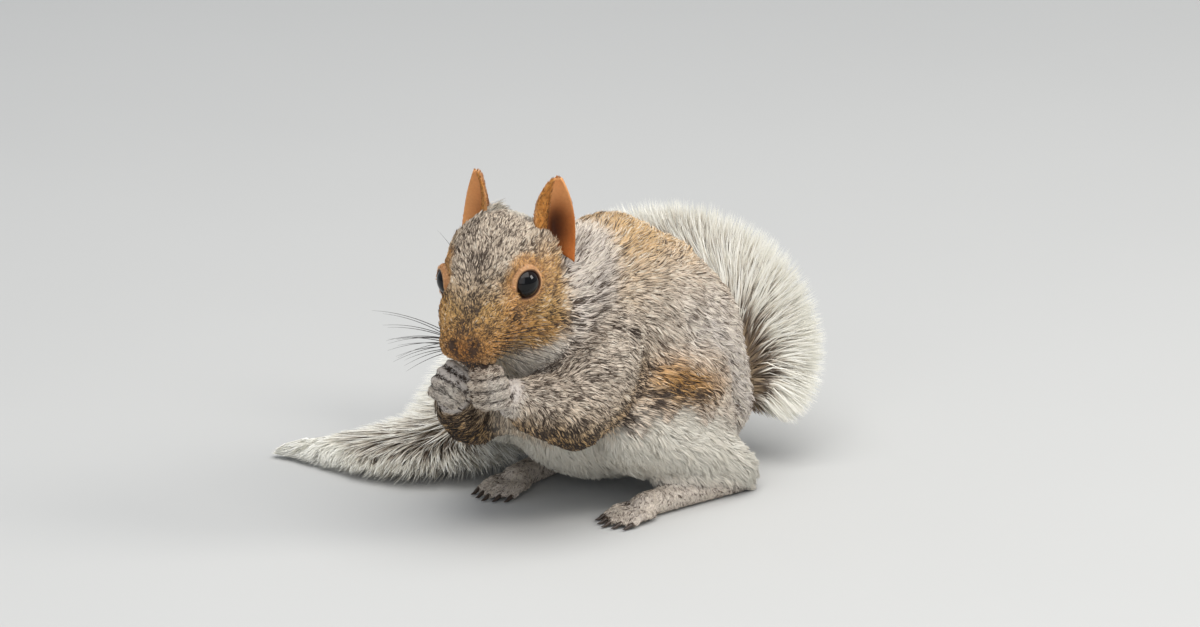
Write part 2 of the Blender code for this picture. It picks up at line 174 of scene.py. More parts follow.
def ripple(points, size, turn):
    """A smooth pattern between about -1 and 1, whose waves are about this many mm long."""
    waves = np.random.default_rng(turn)
    ways = unit(waves.normal(size=(6, 3))) * (2 * math.pi / size)
    ways = ways * waves.uniform(0.7, 1.4, (6, 1))
    return np.sin(points @ ways.T + waves.uniform(0, 2 * math.pi, 6)).sum(1) / 2.5


# %% [markdown]
# ## The body in one piece
# The flesh nodes meet with thin cuts between them. Copies of them are merged, grown by a hair's
# breadth so that they overlap, and fused by a voxel remesh, which leaves one closed surface with
# no seam. The hands, the feet and the tail's thin core are built from tapered limbs and fused in,
# because they are finer than the solids.

# %% Tapered limbs from balls and cones
def add_ball(bm, middle, radius):
    """A ball in millimetres, added to a bmesh that is in metres."""
    size = Vector((radius, radius, radius)) * MM
    place = Matrix.Translation(Vector(middle) * MM) @ Matrix.Diagonal((*size, 1.0))
    bmesh.ops.create_uvsphere(bm, u_segments=16, v_segments=10, radius=1.0, matrix=place)


def add_limb(bm, points, radii):
    """Balls at the points and cones between them."""
    points = [Vector(point) for point in points]
    for point, radius in zip(points, radii):
        add_ball(bm, point, radius)
    for start, end, first, second in zip(points, points[1:], radii, radii[1:]):
        along = end - start
        turn = along.to_track_quat("Z", "Y").to_matrix().to_4x4()
        place = Matrix.Translation((start + end) / 2 * MM) @ turn
        bmesh.ops.create_cone(bm, cap_ends=True, segments=16, radius1=first * MM,
                              radius2=second * MM, depth=along.length * MM, matrix=place)


def object_from(bm, name):
    """Turns a bmesh into an object of the scene."""
    mesh = bpy.data.meshes.new(name)
    bm.to_mesh(mesh)
    bm.free()
    mesh.shade_smooth()
    made = bpy.data.objects.new(name, mesh)
    bpy.context.scene.collection.objects.link(made)
    return made


# %% [markdown]
# A hand is a palm with four fingers side by side, each bent through the same joints. A foot is a
# long heel and ball, flat on the ground, with five toes. Where each finger runs is noted, because
# the coat of the hand follows it later.

# %% The hands and feet
claws = []  # where each claw starts, the way it points, the way it bends, its length and radius
fingers = []  # each finger's side and joints
FINGERS, TOES = 4, 5
FINGER_JOINTS = ((-5.5, 0.4), (-2.2, 1.5), (2.0, 1.5), (4.8, 0.5), (6.2, -1.3))  # ahead, outwards
FINGER_RADII = (2.2, 2.15, 2.0, 1.75, 1.35)
TOE_LENGTH, TOE_SPACING, TOE_RADII = 15.0, 2.3, (2.5, 2.1, 1.6)


def add_forepaw(bm, side, wrist, middle, ahead, across, spacing):
    """A hand with four fingers that lie side by side and curl round what it holds."""
    wrist, middle, ahead, across = (Vector(values) for values in (wrist, middle, ahead, across))
    ahead.normalize()
    across = (across - ahead * across.dot(ahead)).normalized()
    outwards = ahead.cross(across)
    outwards *= 1 if outwards.y < 0 else -1
    palm = middle - ahead * 2.0 - outwards * 2.6
    add_limb(bm, (wrist, palm), (5.0, 4.6))
    for finger in range(FINGERS):
        off_middle = finger - (FINGERS - 1) / 2
        root = middle + across * off_middle * spacing
        shorter = 1 - 0.09 * off_middle**2
        joints = [root + ahead * reach * shorter + outwards * (out - 0.3 * off_middle**2)
                  for reach, out in FINGER_JOINTS]
        add_limb(bm, joints, FINGER_RADII)
        fingers.append((side, joints))
        claws.append((joints[-1], ahead - outwards * 0.9, -outwards, 3.2, 0.45))


def add_foot(bm, heel, toes):
    """A long hind foot, flat on the ground, with five toes."""
    heel, toes = Vector((*heel, 5.2)), Vector((*toes, 4.0))
    along = (toes - heel).normalized()
    level = Vector((along.x, along.y, 0.0)).normalized()
    spread = Vector((-level.y, level.x, 0.0))
    ball = heel.lerp(toes, 0.72)
    add_limb(bm, (heel, heel.lerp(ball, 0.55), ball), (5.6, 4.9, 4.6))
    for toe in range(TOES):
        off_middle = toe - (TOES - 1) / 2
        reach = TOE_LENGTH * (1.0 - 0.1 * abs(off_middle) ** 1.3)
        root = ball + spread * off_middle * TOE_SPACING
        root.z = 3.0
        knuckle = root + level * reach * 0.55 + spread * off_middle * 0.7
        knuckle.z = 3.1
        end = root + level * reach * 0.95 + spread * off_middle * 1.2
        end.z = 1.6
        add_limb(bm, (root, knuckle, end), TOE_RADII)
        down = Vector((0, 0, -1.0))
        claws.append((end + level * 0.8, level + down * 0.25, down, 4.2, 0.8))


# %% [markdown]
# The tail is thin under all its hair. Its core is a limb along the same curve that the solids
# follow, drawn smoothly through a few points. Each point also has the way in which the brush
# fans out there, and how wide and thick the brush is.

# %% The tail's curve
TAIL = np.array((
    # core's place, the way the brush fans out, half width, half thickness
    (23.2, 57.4, 16, 0.95, 0.2, 0.1, 23, 12),
    (21.2, 64.4, 28, 0.9, 0.4, 0.15, 30, 12),
    (11.2, 67.4, 42, 0.7, 0.4, 0.6, 34, 12.5),
    (-5.8, 65.4, 50, 0.15, 0.35, 0.92, 32, 13),
    (-21.8, 55.4, 50, -0.35, 0.25, 0.9, 31, 13),
    (-31.8, 35.4, 42, -0.75, 0.15, 0.6, 32, 13),
    (-33.8, 11.4, 26, -0.95, 0.1, 0.3, 33, 12.5),
    (-30.8, -10.6, 14, -0.95, 0.3, 0.1, 33, 12),
    (-33.8, -28.6, 10, -0.85, 0.5, 0, 31, 11),
    (-42.8, -40.6, 8, -0.75, 0.65, 0, 25, 9),
    (-56.8, -52.6, 6, -0.7, 0.7, 0, 12, 6.5),
    (-66.8, -59.6, 5, -0.7, 0.7, 0, 5, 3),
))
TAIL_END = len(TAIL) - 1.0
TAIL_BASE_RADIUS, TAIL_TIP_RADIUS = 6.0, 2.0


def along_tail(position):
    """The tail's row of values at whole-and-part positions, by Catmull-Rom curves."""
    position = np.clip(np.atleast_1d(position), 0.0, TAIL_END - 1e-6)
    start = position.astype(int)
    t = (position - start)[:, None]
    a, b, c, d = (TAIL[np.clip(start + shift, 0, len(TAIL) - 1)] for shift in (-1, 0, 1, 2))
    return 0.5 * (2 * b + (c - a) * t + (2 * a - 5 * b + 4 * c - d) * t**2
                  + (3 * b - a - 3 * c + d) * t**3)


def tail_radius(position):
    return TAIL_BASE_RADIUS + (TAIL_TIP_RADIUS - TAIL_BASE_RADIUS) * (position / TAIL_END) ** 0.7


tail_steps = np.linspace(0, TAIL_END * 0.96, 60)
tail_points = along_tail(tail_steps)[:, :3]
tail_points[:, 2] = np.maximum(tail_points[:, 2], tail_radius(tail_steps) + 0.5)
tail_length = np.linalg.norm(np.diff(tail_points, axis=0), axis=1).sum()
print("tail's core:", round(tail_length), "mm long")

# %% Fuse the body
VOXEL = 0.92
CLOSES_CUTS = 0.32
FLESH = [name for name in frame["nodes"] if not name.startswith(("eye_", "ear_", "tail_"))]
MADE_ANEW = ("forepaw", "hind_foot")
TAIL_ROOT, TAIL_ROOT_RADIUS = Vector((23.2, 46.0, 22.0)), 7.0  # inside the rump
HANDS = {  # wrist, middle, the way the fingers point, the way they are stacked, their spacing
    "left": ((48.2, -61.0, 50.2), (49.2, -70.8, 55.8),
             (-0.60, -0.76, -0.13), (0.11, -0.09, 1.09), 3.9),
    "right": ((28.7, -68.2, 47.4), (33.7, -73.9, 54.0),
              (0.74, 0.44, -0.48), (0.13, 0.55, 0.82), 3.6),
}
FEET = {"left": ((56.2, 33.4), (58.2, -27.6)), "right": ((-4.8, 21.4), (10.2, -41.6))}


def add_solid(bm, name, grow):
    """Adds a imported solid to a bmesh, its loose triangles merged, grown by this many mm."""
    part = bmesh.new()
    part.from_mesh(frame["nodes"][name].data)
    bmesh.ops.remove_doubles(part, verts=part.verts, dist=1e-6)
    part.normal_update()
    for vert in part.verts:
        vert.co += vert.normal * grow * MM
    mesh = bpy.data.meshes.new(name + "_copy")
    part.to_mesh(mesh)
    part.free()
    bm.from_mesh(mesh)
    bpy.data.meshes.remove(mesh)


def mesh_arrays(obj):
    """The points in mm, triangles and edges of an object with its modifiers. It is then removed."""
    graph = bpy.context.evaluated_depsgraph_get()
    mesh = bpy.data.meshes.new_from_object(obj.evaluated_get(graph))
    mesh.calc_loop_triangles()
    co = np.array([vert.co for vert in mesh.vertices]) / MM
    tris = np.array([face.vertices for face in mesh.loop_triangles])
    ends = np.array([edge.vertices for edge in mesh.edges])
    bpy.data.meshes.remove(mesh)
    bpy.data.objects.remove(obj)
    return co, tris, ends


def remeshed(bm, voxel):
    """The fused shells of a bmesh, as arrays."""
    made = object_from(bm, "form")
    fuse = made.modifiers.new("fuse", "REMESH")
    fuse.mode = "VOXEL"
    fuse.voxel_size = voxel * MM
    return mesh_arrays(made)


def walk_from(start, points, edges):
    """The distance of each point from the start along the mesh's edges."""
    lengths = np.linalg.norm(points[edges[:, 0]] - points[edges[:, 1]], axis=1)
    links = np.concatenate([edges, edges[:, ::-1]])
    costs = np.concatenate([lengths, lengths])
    order = np.argsort(links[:, 0], kind="stable")
    ends, costs = links[order, 1].tolist(), costs[order].tolist()
    first = np.searchsorted(links[order, 0], np.arange(len(points) + 1)).tolist()
    reached = [math.inf] * len(points)
    reached[start] = 0.0
    queue = [(0.0, start)]
    while queue:
        gone, point = heapq.heappop(queue)
        if gone > reached[point]:
            continue
        for link in range(first[point], first[point + 1]):
            there = gone + costs[link]
            if there < reached[ends[link]]:
                reached[ends[link]] = there
                heapq.heappush(queue, (there, ends[link]))
    return np.array(reached)


form = bmesh.new()
for name in FLESH:
    if not name.startswith(MADE_ANEW):
        add_solid(form, name, CLOSES_CUTS)
for side, values in HANDS.items():
    add_forepaw(form, side, *values)
for side, (heel, toes) in FEET.items():
    add_foot(form, heel, toes)
tail_radii = [tail_radius(position) for position in tail_steps]
add_limb(form, [TAIL_ROOT, *tail_points], [TAIL_ROOT_RADIUS, *tail_radii])
points, faces, edges = remeshed(form, VOXEL)
foremost = int(points[:, 1].argmin())
outside = np.isfinite(walk_from(foremost, points, edges))  # spaces sealed inside are dropped
renumbered = np.cumsum(outside) - 1
faces, edges = (renumbered[rows[outside[rows[:, 0]]]] for rows in (faces, edges))
points = points[outside]
print("fused body:", len(points), "points,", len(faces), "triangles")

# %% [markdown]
# ## Where each part of the skin belongs
# Each point of the skin is named after the solid nearest to it, or after the tail or the hand
# when it lies on its core or on a finger. Values that change from one part of the body to the
# next, such as the depth of the coat, are looked up by that name and then spread along the
# surface, so that they change gently.

# %% Name the skin's points
NAMES = FLESH + ["tail"]


def nearest_solid(places):
    """For each place the number, in NAMES, of the solid nearest to it."""
    corners, polygons, owners = [], [], []
    for number, name in enumerate(FLESH):
        mesh = frame["nodes"][name].data
        first = len(corners)
        corners += [vert.co / MM for vert in mesh.vertices]
        polygons += [[first + index for index in face.vertices] for face in mesh.polygons]
        owners += [number] * len(mesh.polygons)
    tree = BVHTree.FromPolygons(corners, polygons)
    return np.array([owners[tree.find_nearest(place)[2]] for place in places])


def spread(values, edges, times, pull=0.5):
    """Values averaged with their neighbours' this many times. Pull, from 0 to 1, is how far each
    goes to that mean. It may be a column with a number for each point."""
    a, b = edges.T
    count = len(values)
    columns = values.reshape(count, -1).astype(float)
    near = np.maximum(np.bincount(a, minlength=count) + np.bincount(b, minlength=count), 1)
    for _ in range(times):
        mean = np.stack([np.bincount(a, column[b], count) + np.bincount(b, column[a], count)
                         for column in columns.T], axis=1) / near[:, None]
        columns = columns + (mean - columns) * pull
    return columns.reshape(values.shape)


def normals_of(points, faces):
    """Smooth normals at the points of a triangle mesh."""
    a, b, c = (points[faces[:, corner]] for corner in range(3))
    face_normals = np.cross(b - a, c - a)
    total = np.zeros_like(points)
    for corner in range(3):
        for axis in range(3):
            total[:, axis] += np.bincount(faces[:, corner], face_normals[:, axis], len(points))
    return unit(total)


label = nearest_solid(points)
to_core = np.stack([np.linalg.norm(points - place, axis=1) for place in tail_points], axis=1)
tail_position = tail_steps[to_core.argmin(axis=1)]
is_tail = (to_core.min(axis=1) < tail_radius(tail_position) + 1.2) & (tail_position > 0.35)
label[is_tail] = NAMES.index("tail")
del to_core


def belongs(*beginnings):
    """Which points of the skin belong to the parts whose names begin so."""
    numbers = [number for number, name in enumerate(NAMES) if name.startswith(beginnings)]
    return np.isin(label, numbers)


def by_part(values):
    """A value for each point from a table of name beginnings."""
    found = np.full(len(NAMES), np.nan)
    for number, name in enumerate(NAMES):
        for start, value in values.items():
            if name.startswith(start):
                found[number] = value
    return found[label]


# %% Tell the fingers from the face
FINGER_SKIN = 0.9  # skin this near to a finger belongs to it


def by_fingers(points):
    """For each point: the gap to the nearest finger, how far it lies between two fingers, the
    way that finger runs there, and the finger's number."""
    gaps, ways = [], []
    for _, joints in fingers:
        nearest, lie = np.full(len(points), np.inf), np.zeros((len(points), 3))
        for start, end, first, second in zip(joints, joints[1:], FINGER_RADII, FINGER_RADII[1:]):
            start, along = np.array(start), np.array(end) - np.array(start)
            share = np.clip(dot(points - start, along) / dot(along, along), 0, 1)
            radius = first + (second - first) * share[:, 0]
            gap = np.linalg.norm(points - start - share * along, axis=1) - radius
            lie = np.where((gap < nearest)[:, None], unit(along), lie)
            nearest = np.minimum(nearest, gap)
        gaps.append(nearest)
        ways.append(lie)
    gaps, ways = np.array(gaps), np.array(ways)
    order, which = np.sort(gaps, axis=0), gaps.argmin(0)
    between = np.exp(-(((order[1] - order[0]) / 0.95) ** 2)) * step(order[0], 1.6, 0.8)
    return order[0], between, ways[which, np.arange(len(points))], which


to_finger, _, _, which = by_fingers(points)
for side in HANDS:
    of_side = np.array([owner == side for owner, _ in fingers])[which]
    label[of_side & (to_finger < FINGER_SKIN)] = NAMES.index("forepaw_" + side)
print({name: int((label == number).sum()) for number, name in enumerate(NAMES)})

# %% Soften the facets and sink the skin below the coat
SOFTENING = {"head": 22, "neck": 60, "chest": 60, "rump": 60, "upper_arm": 40, "forearm": 20,
             "forepaw": 2, "thigh": 50, "hind_foot": 3, "tail": 6}
COAT_DEPTH = {"head": 1.5, "neck": 3.2, "chest": 3.4, "rump": 3.6, "upper_arm": 2.6,
              "forearm": 1.7, "forepaw": 0.3, "thigh": 3.2, "hind_foot": 0.4, "tail": 0.0}
MUZZLE_DEPTH = 0.7
BACK_WAY, BACK_SUNK = (0.29, 0.67, 0.67), 3.6  # the rump's back is flattened from this way

rounds = spread(by_part(SOFTENING), edges, 10)
for done in range(max(SOFTENING.values())):
    points = spread(points, edges, 1, 0.5 * (done < rounds)[:, None])
depth = by_part(COAT_DEPTH)
to_muzzle = step(in_head(points)[:, 1], -8, -20)
depth += belongs("head") * (MUZZLE_DEPTH - COAT_DEPTH["head"]) * to_muzzle
depth = spread(depth, edges, 14)
normals = unit(spread(normals_of(points, faces), edges, 3))
points = points - normals * depth[:, None]
faces_back = step(dot(normals, unit(np.array(BACK_WAY)))[:, 0], 0.2, 0.85)
of_trunk = spread(belongs("chest", "rump"), edges, 12)
sunk = BACK_SUNK * faces_back * of_trunk * step(points[:, 1], 6, 28)
points = points - normals * sunk[:, None]
points[:, 2] = np.maximum(points[:, 2], 0.0)
points = spread(points, edges, 2, 0.3)
print("skin sunk by", depth.min().round(1), "to", depth.max().round(1), "mm under the coat")

# %% [markdown]
# ## Nose, lips and eye sockets
# The muzzle is blunt and furred, with a comma-shaped nostril on each side of a small soft pad, a
# groove from the pad down to the lip, and the mouth's line running back under the cheeks. These
# are pressed into the skin along short lines. Round each eye the skin is drawn in behind the
# eyeball, so that the lids can close over it.

# %% Press the face's lines into the skin
NOSTRIL = ((2.2, -31.4, -9.2), (3.6, -31.0, -7.4), (4.1, -29.9, -5.2))
LIP_GROOVE = ((0.0, -32.2, -9.4), (0.0, -31.4, -12.4))
MOUTH = ((0.0, -30.6, -13.0), (4.5, -27.8, -14.6), (9.4, -21.0, -15.4), (11.5, -15.5, -14.2))
EYE_RADIUS = 5.4
EYE_IN_HEAD = np.array((13.0, -3.2, 5.0))
EYE_AT = {"left": EYE_IN_HEAD, "right": np.array((-12.3, -2.6, 3.6))}
EYE_LOOKS = unit(np.array((0.80, -0.58, 0.06)))
SIDES = {"left": 1.0, "right": -1.0}
PRESSED = ((NOSTRIL, 0.9, 1.5), (LIP_GROOVE, 0.7, 0.9), (MOUTH, 0.9, 1.2))  # line, reach, depth
RAISED = (  # the pad and the wings of the nose: line, reach and height
    (((0.0, -31.8, -7.4), (1.6, -31.6, -6.6)), 1.5, 0.7),
    (((5.2, -30.0, -8.6), (5.8, -28.8, -6.6)), 1.3, 0.5),
)
FINE_NOSE = -23.5  # ahead of this the skin is made finer
FINGER_GROOVE = 0.6


def near_line(places, line, reach):
    """1 on a line of points and its mirror image, falling off to each side over its reach."""
    folded = np.array(places, float)
    folded[:, 0] = np.abs(folded[:, 0])
    nearest = np.full(len(places), np.inf)
    for start, end in zip(np.array(line), np.array(line[1:])):
        share = np.clip(dot(folded - start, end - start) / dot(end - start, end - start), 0, 1)
        away = np.linalg.norm(folded - start - share * (end - start), axis=1)
        nearest = np.minimum(nearest, away)
    return np.exp(-(nearest / reach) ** 2)


def lines_of_face(places):
    """How dark and bare the skin is at places in the head's frame: nostrils and mouth."""
    return np.maximum(near_line(places, NOSTRIL, 0.75), 0.9 * near_line(places, MOUTH, 0.6))


def refined(points, faces, label, wanted):
    """The mesh with every edge between two wanted points cut in half."""
    mesh = bpy.data.meshes.new("form")
    mesh.from_pydata(points.tolist(), [], faces.tolist())
    bm = bmesh.new()
    bm.from_mesh(mesh)
    bpy.data.meshes.remove(mesh)
    number = bm.verts.layers.int.new("number")
    for vert, part in zip(bm.verts, label.tolist()):
        vert[number] = part
    halved = [edge for edge in bm.edges if all(wanted[vert.index] for vert in edge.verts)]
    bmesh.ops.subdivide_edges(bm, edges=halved, cuts=1)
    bmesh.ops.triangulate(bm, faces=bm.faces)
    bm.verts.index_update()
    co = np.array([vert.co for vert in bm.verts])
    tris = np.array([[vert.index for vert in face.verts] for face in bm.faces])
    ends = np.array([[vert.index for vert in edge.verts] for edge in bm.edges])
    part = np.array([vert[number] for vert in bm.verts])
    part[len(points):] = NAMES.index("head")
    bm.free()
    return co, tris, ends, part


points, faces, edges, label = refined(points, faces, label, in_head(points)[:, 1] < FINE_NOSE)
normals = normals_of(points, faces)
at_head = in_head(points)
pressed = sum(depth * near_line(at_head, line, reach) for line, reach, depth in PRESSED)
raised = sum(height * near_line(at_head, line, reach) for line, reach, height in RAISED)
to_finger, between, along_finger, _ = by_fingers(points)
change = np.where(at_head[:, 1] < -10, raised - pressed, 0)
change -= FINGER_GROOVE * between * (to_finger < 1.0)
points = points + normals * change[:, None]
print("with a finer nose:", len(faces), "triangles")

SOCKET_DEPTH, SOCKET_REACH = 4.4, 13.0
for name, side in SIDES.items():
    mirror = np.array((side, 1.0, 1.0))
    offset = in_head(points) - EYE_AT[name]
    away = np.linalg.norm(offset, axis=1)
    turn = np.degrees(np.arccos(np.clip(offset @ (EYE_LOOKS * mirror) / away, -1, 1)))
    deepest = SOCKET_DEPTH + 1.6 * step(turn, 56, 74)
    moved = (away < SOCKET_REACH) & (turn < 84) & (away > deepest)
    sunk = np.where(moved, deepest / away, 1.0)
    sunk = 1 + (sunk - 1) * (1 - step(turn, 68, 84))
    in_socket = from_head(EYE_AT[name] + offset * sunk[:, None])
    points = np.where((sunk < 1)[:, None], in_socket, points)
print("nostrils and mouth pressed into", int((pressed > 0.2).sum()), "points")

# %% [markdown]
# ## The lie of the coat
# Hair grows away from the nose: back over the head, along the back and down the limbs and tail.
# So the distance from the nose along the skin is measured, and the hair follows the way in which
# it grows fastest. The field is then averaged, which also rounds off its turns.

# %% Measure the way from the nose
def steepest(values, points, edges, normals):
    """The way along the skin in which the values grow fastest."""
    a, b = edges.T
    along = points[b] - points[a]
    pull = along * ((values[b] - values[a]) / np.maximum(dot(along, along)[:, 0], 1e-6))[:, None]
    count = len(points)
    total = np.stack([np.bincount(a, column, count) + np.bincount(b, column, count)
                      for column in pull.T], axis=1)
    return unit(total - normals * dot(total, normals))


NOSE_TIP = (0.0, -32.0, -7.5)
DROOP = 0.25  # how much the hair of the body hangs
ROUND_EYES, ALONG_FINGERS = 1.6, 4.0  # how strongly the hair follows these
EYE_REACH = 8.5

tip = int(np.linalg.norm(in_head(points) - NOSE_TIP, axis=1).argmin())
way = spread(walk_from(tip, points, edges), edges, 12)
normals = normals_of(points, faces)
flow = steepest(way, points, edges, normals)
flow[:, 2] -= DROOP * ~belongs("head")
at_head = in_head(points)
for place in EYE_AT.values():
    offset = at_head - place
    outwards = unit(offset) @ HEAD.T
    nearness = np.exp(-(np.linalg.norm(offset, axis=1) / EYE_REACH) ** 2)
    flow += outwards * (ROUND_EYES * nearness)[:, None]
on_finger = np.where(to_finger < FINGER_SKIN, ALONG_FINGERS, 0.0)[:, None]
flow = spread(unit(flow - normals * dot(flow, normals)), edges, 24)
flow = spread(flow + along_finger * on_finger, edges, 2)
flow = unit(flow - normals * dot(flow, normals))
print("farthest hair:", round(way.max()), "mm from the nose")

# %% How the skin bends along the hair
def bend_along(points, edges, normals, flow):
    """The skin's curvature along the hair, in 1/mm, positive where it falls away."""
    a, b = edges.T
    top, bottom = np.zeros(len(points)), np.zeros(len(points))
    for here, there in ((a, b), (b, a)):
        gone = dot(points[there] - points[here], flow[here])[:, 0]
        turn = dot(normals[there] - normals[here], flow[here])[:, 0]
        top += np.bincount(here, gone * turn, len(points))
        bottom += np.bincount(here, gone * gone, len(points))
    return np.clip(spread(top / np.maximum(bottom, 1e-6), edges, 12), -0.015, 0.09)


bend = bend_along(points, edges, normals, flow)
print("bend of the skin:", bend.min().round(3), "to", bend.max().round(3))

# %% [markdown]
# ## Ears and eyelids
# The ears are thin leaves, cupped and open to the front and side. Each starts as a flat bmesh
# grid that is bent into a leaf, and a Solidify modifier gives it its wall. The lids are rings
# that rise from the eyeball, roll over and run out under the fur. Both become part of the skin.

# %% Ears
EARS = {  # base and tip, both given as for the left side
    "left": ((16.6, 19.5, 6.5), (17.5, 25.0, 30.0)),
    "right": ((12.6, 20.0, 8.5), (9.2, 25.5, 30.4)),
}
EAR_OPENING = Vector((0.67, -0.70, 0.20)).normalized()
EAR_WIDTH, EAR_CUP, EAR_WALL, EAR_SLANT = 15.0, 5.0, 0.8, 0.24


def ear(name, side):
    """One ear: points, triangles, edges and, for each point, its height, side and place across."""
    base, tip = (Vector(point) for point in EARS[name])
    across = (tip - base).cross(EAR_OPENING).normalized()
    bm = bmesh.new()
    bmesh.ops.create_grid(bm, x_segments=26, y_segments=30, size=1.0)
    for vert in bm.verts:
        s, t = vert.co.x, (vert.co.y + 1) / 2
        width = EAR_WIDTH / 2 * (0.95 + 0.25 * t - 1.02 * t**2.8)
        hollow = (EAR_CUP * (1 - t) ** 0.5 + 0.8) * (1 - s * s)
        hollow += 2.6 * math.exp(-((s - 0.28) / 0.36) ** 2 - ((t - 0.32) / 0.3) ** 2)
        hollow -= 2.3 * math.exp(-((s + 0.55) / 0.27) ** 2) * (1 - t) ** 0.5
        lean = 3.0 * t * (1 - t)
        curl = 1.6 * max(0.0, abs(s) - 0.75) / 0.25 * (1 - t)
        up = t - EAR_SLANT * s * (1 - t)
        place = base.lerp(tip, up) + across * (s * width)
        place -= EAR_OPENING * (hollow + lean + curl - 2.0)
        place.x *= side
        vert.co = place * MM
    bmesh.ops.recalc_face_normals(bm, faces=bm.faces)
    leaf = object_from(bm, "ear_leaf")
    wall = leaf.modifiers.new("wall", "SOLIDIFY")
    wall.thickness = EAR_WALL * MM
    wall.offset = 0.0
    co, tris, ends = mesh_arrays(leaf)
    turned_out = np.linalg.det(co[tris]).sum() > 0
    tris = tris if turned_out else tris[:, ::-1]
    mirror, upwards = np.array((side, 1, 1)), np.array(tip) - np.array(base)
    height = dot(co - np.array(base) * mirror, unit(upwards * mirror))[:, 0]
    height = height / (tip - base).length
    inwards = dot(normals_of(co, tris), np.array(EAR_OPENING) * mirror)[:, 0] > 0
    beside = dot(co * mirror - np.array(base), np.array(across))[:, 0] / (EAR_WIDTH / 2)
    return from_head(co), tris, ends, height, inwards, beside


# %% Eyelids
LID_ROWS = (  # degrees outwards from the lid's edge, and mm out from the eyeball's middle
    (1.0, 5.2), (0.0, 5.55), (0.5, 5.95), (4.0, 6.25),
    (10.0, 6.35), (18.0, 6.3), (28.0, 6.1), (40.0, 5.6),
)
LID_SIDES = 56
LID_OPENING = {"left": 53.0, "right": 41.0}
CORNERS = ((-38.0, 11.0, 22.0), (142.0, 4.0, 26.0))  # where on the ring, how far it opens, how wide


def lid(side, middle, widest):
    """One eye's lids as a ring: its points, triangles and edges, and how near the edge each is."""
    mirror = np.array((side, 1.0, 1.0))
    to_nose = unit(np.cross(EYE_LOOKS, (0, 0, 1.0)))
    to_nose = to_nose * np.sign(-to_nose[1])
    up = unit(np.cross(to_nose, EYE_LOOKS))
    up = up * np.sign(up[2])
    rows = []
    for out, away in LID_ROWS:
        angle = np.arange(LID_SIDES) * 360.0 / LID_SIDES
        opening = widest + 4.5 * np.sin(np.radians(angle)) ** 2
        for where, more, width in CORNERS:
            gap = (angle - where + 180) % 360 - 180
            opening = opening + more * np.exp(-(gap / width) ** 2)
        turn = np.radians(opening + out)
        ring = np.radians(angle)[:, None]
        round_eye = to_nose * np.cos(ring) + up * np.sin(ring)
        place = EYE_LOOKS * np.cos(turn)[:, None] + round_eye * np.sin(turn)[:, None]
        rows.append(middle + place * away * mirror)
    co = np.concatenate(rows)
    here = np.arange(LID_SIDES)
    after = (here + 1) % LID_SIDES
    tris, ends = [], []
    for row in range(len(rows) - 1):
        a, b = row * LID_SIDES, (row + 1) * LID_SIDES
        tris.append(np.stack([a + here, b + here, b + after], 1))
        tris.append(np.stack([a + here, b + after, a + after], 1))
        ends += [np.stack([a + here, b + here], 1), np.stack([a + here, a + after], 1)]
    tris, ends = np.concatenate(tris), np.concatenate(ends)
    outwards = dot(normals_of(co, tris), co - middle)
    tris = tris if outwards.sum() > 0 else tris[:, ::-1]
    edge = np.repeat(1 - step(np.arange(len(rows)), 1.5, 3.5), LID_SIDES)
    return from_head(co), tris, ends, edge


# %% Join them to the skin
NAMES += ["ear_out", "ear_in", "lid"]
VALUES = ("label", "bend", "bare", "up_ear", "across_ear")
LID_BEND = 0.08


def shell(points, faces, edges, flow, **values):
    """One surface and what is known at its points. A value not given is 0 all over it."""
    full = {name: np.broadcast_to(values.get(name, 0.0), len(points)) for name in VALUES}
    return SimpleNamespace(points=points, faces=faces, edges=edges, flow=flow, **full)


def in_surface(way, normals):
    """A way laid flat against the surface."""
    return unit(way - normals * dot(way, normals))


body_count, body_faces = len(points), len(faces)
bare = lines_of_face(in_head(points)) * (in_head(points)[:, 1] < -12)
shells = [shell(points, faces, edges, flow, label=label, bend=bend, bare=bare)]
for name, side in SIDES.items():
    mirror = np.array((side, 1.0, 1.0))
    co, tris, ends, height, inwards, beside = ear(name, side)
    base, tip = np.array(EARS[name])
    up = unit(from_head((tip - base) * mirror) - from_head((0, 0, 0)))
    part = np.where(inwards, NAMES.index("ear_in"), NAMES.index("ear_out"))
    shells.append(shell(co, tris, ends, in_surface(up, normals_of(co, tris)),
                        label=part, up_ear=height, across_ear=beside))
    co, tris, ends, edge = lid(side, EYE_AT[name], LID_OPENING[name])
    outwards = unit(unit(co - from_head(EYE_AT[name])) - (EYE_LOOKS * mirror) @ HEAD.T)
    shells.append(shell(co, tris, ends, in_surface(outwards, normals_of(co, tris)),
                        label=NAMES.index("lid"), bend=LID_BEND, bare=edge))

starts = np.cumsum([0] + [len(each.points) for each in shells])
skin = SimpleNamespace(
    faces=np.concatenate([each.faces + start for each, start in zip(shells, starts)]),
    edges=np.concatenate([each.edges + start for each, start in zip(shells, starts)]))
for field in ("points", "flow", *VALUES):
    setattr(skin, field, np.concatenate([getattr(each, field) for each in shells]))
skin.normals = normals_of(skin.points, skin.faces)
label = skin.label
print("skin:", len(skin.points), "points,", len(skin.faces), "triangles")
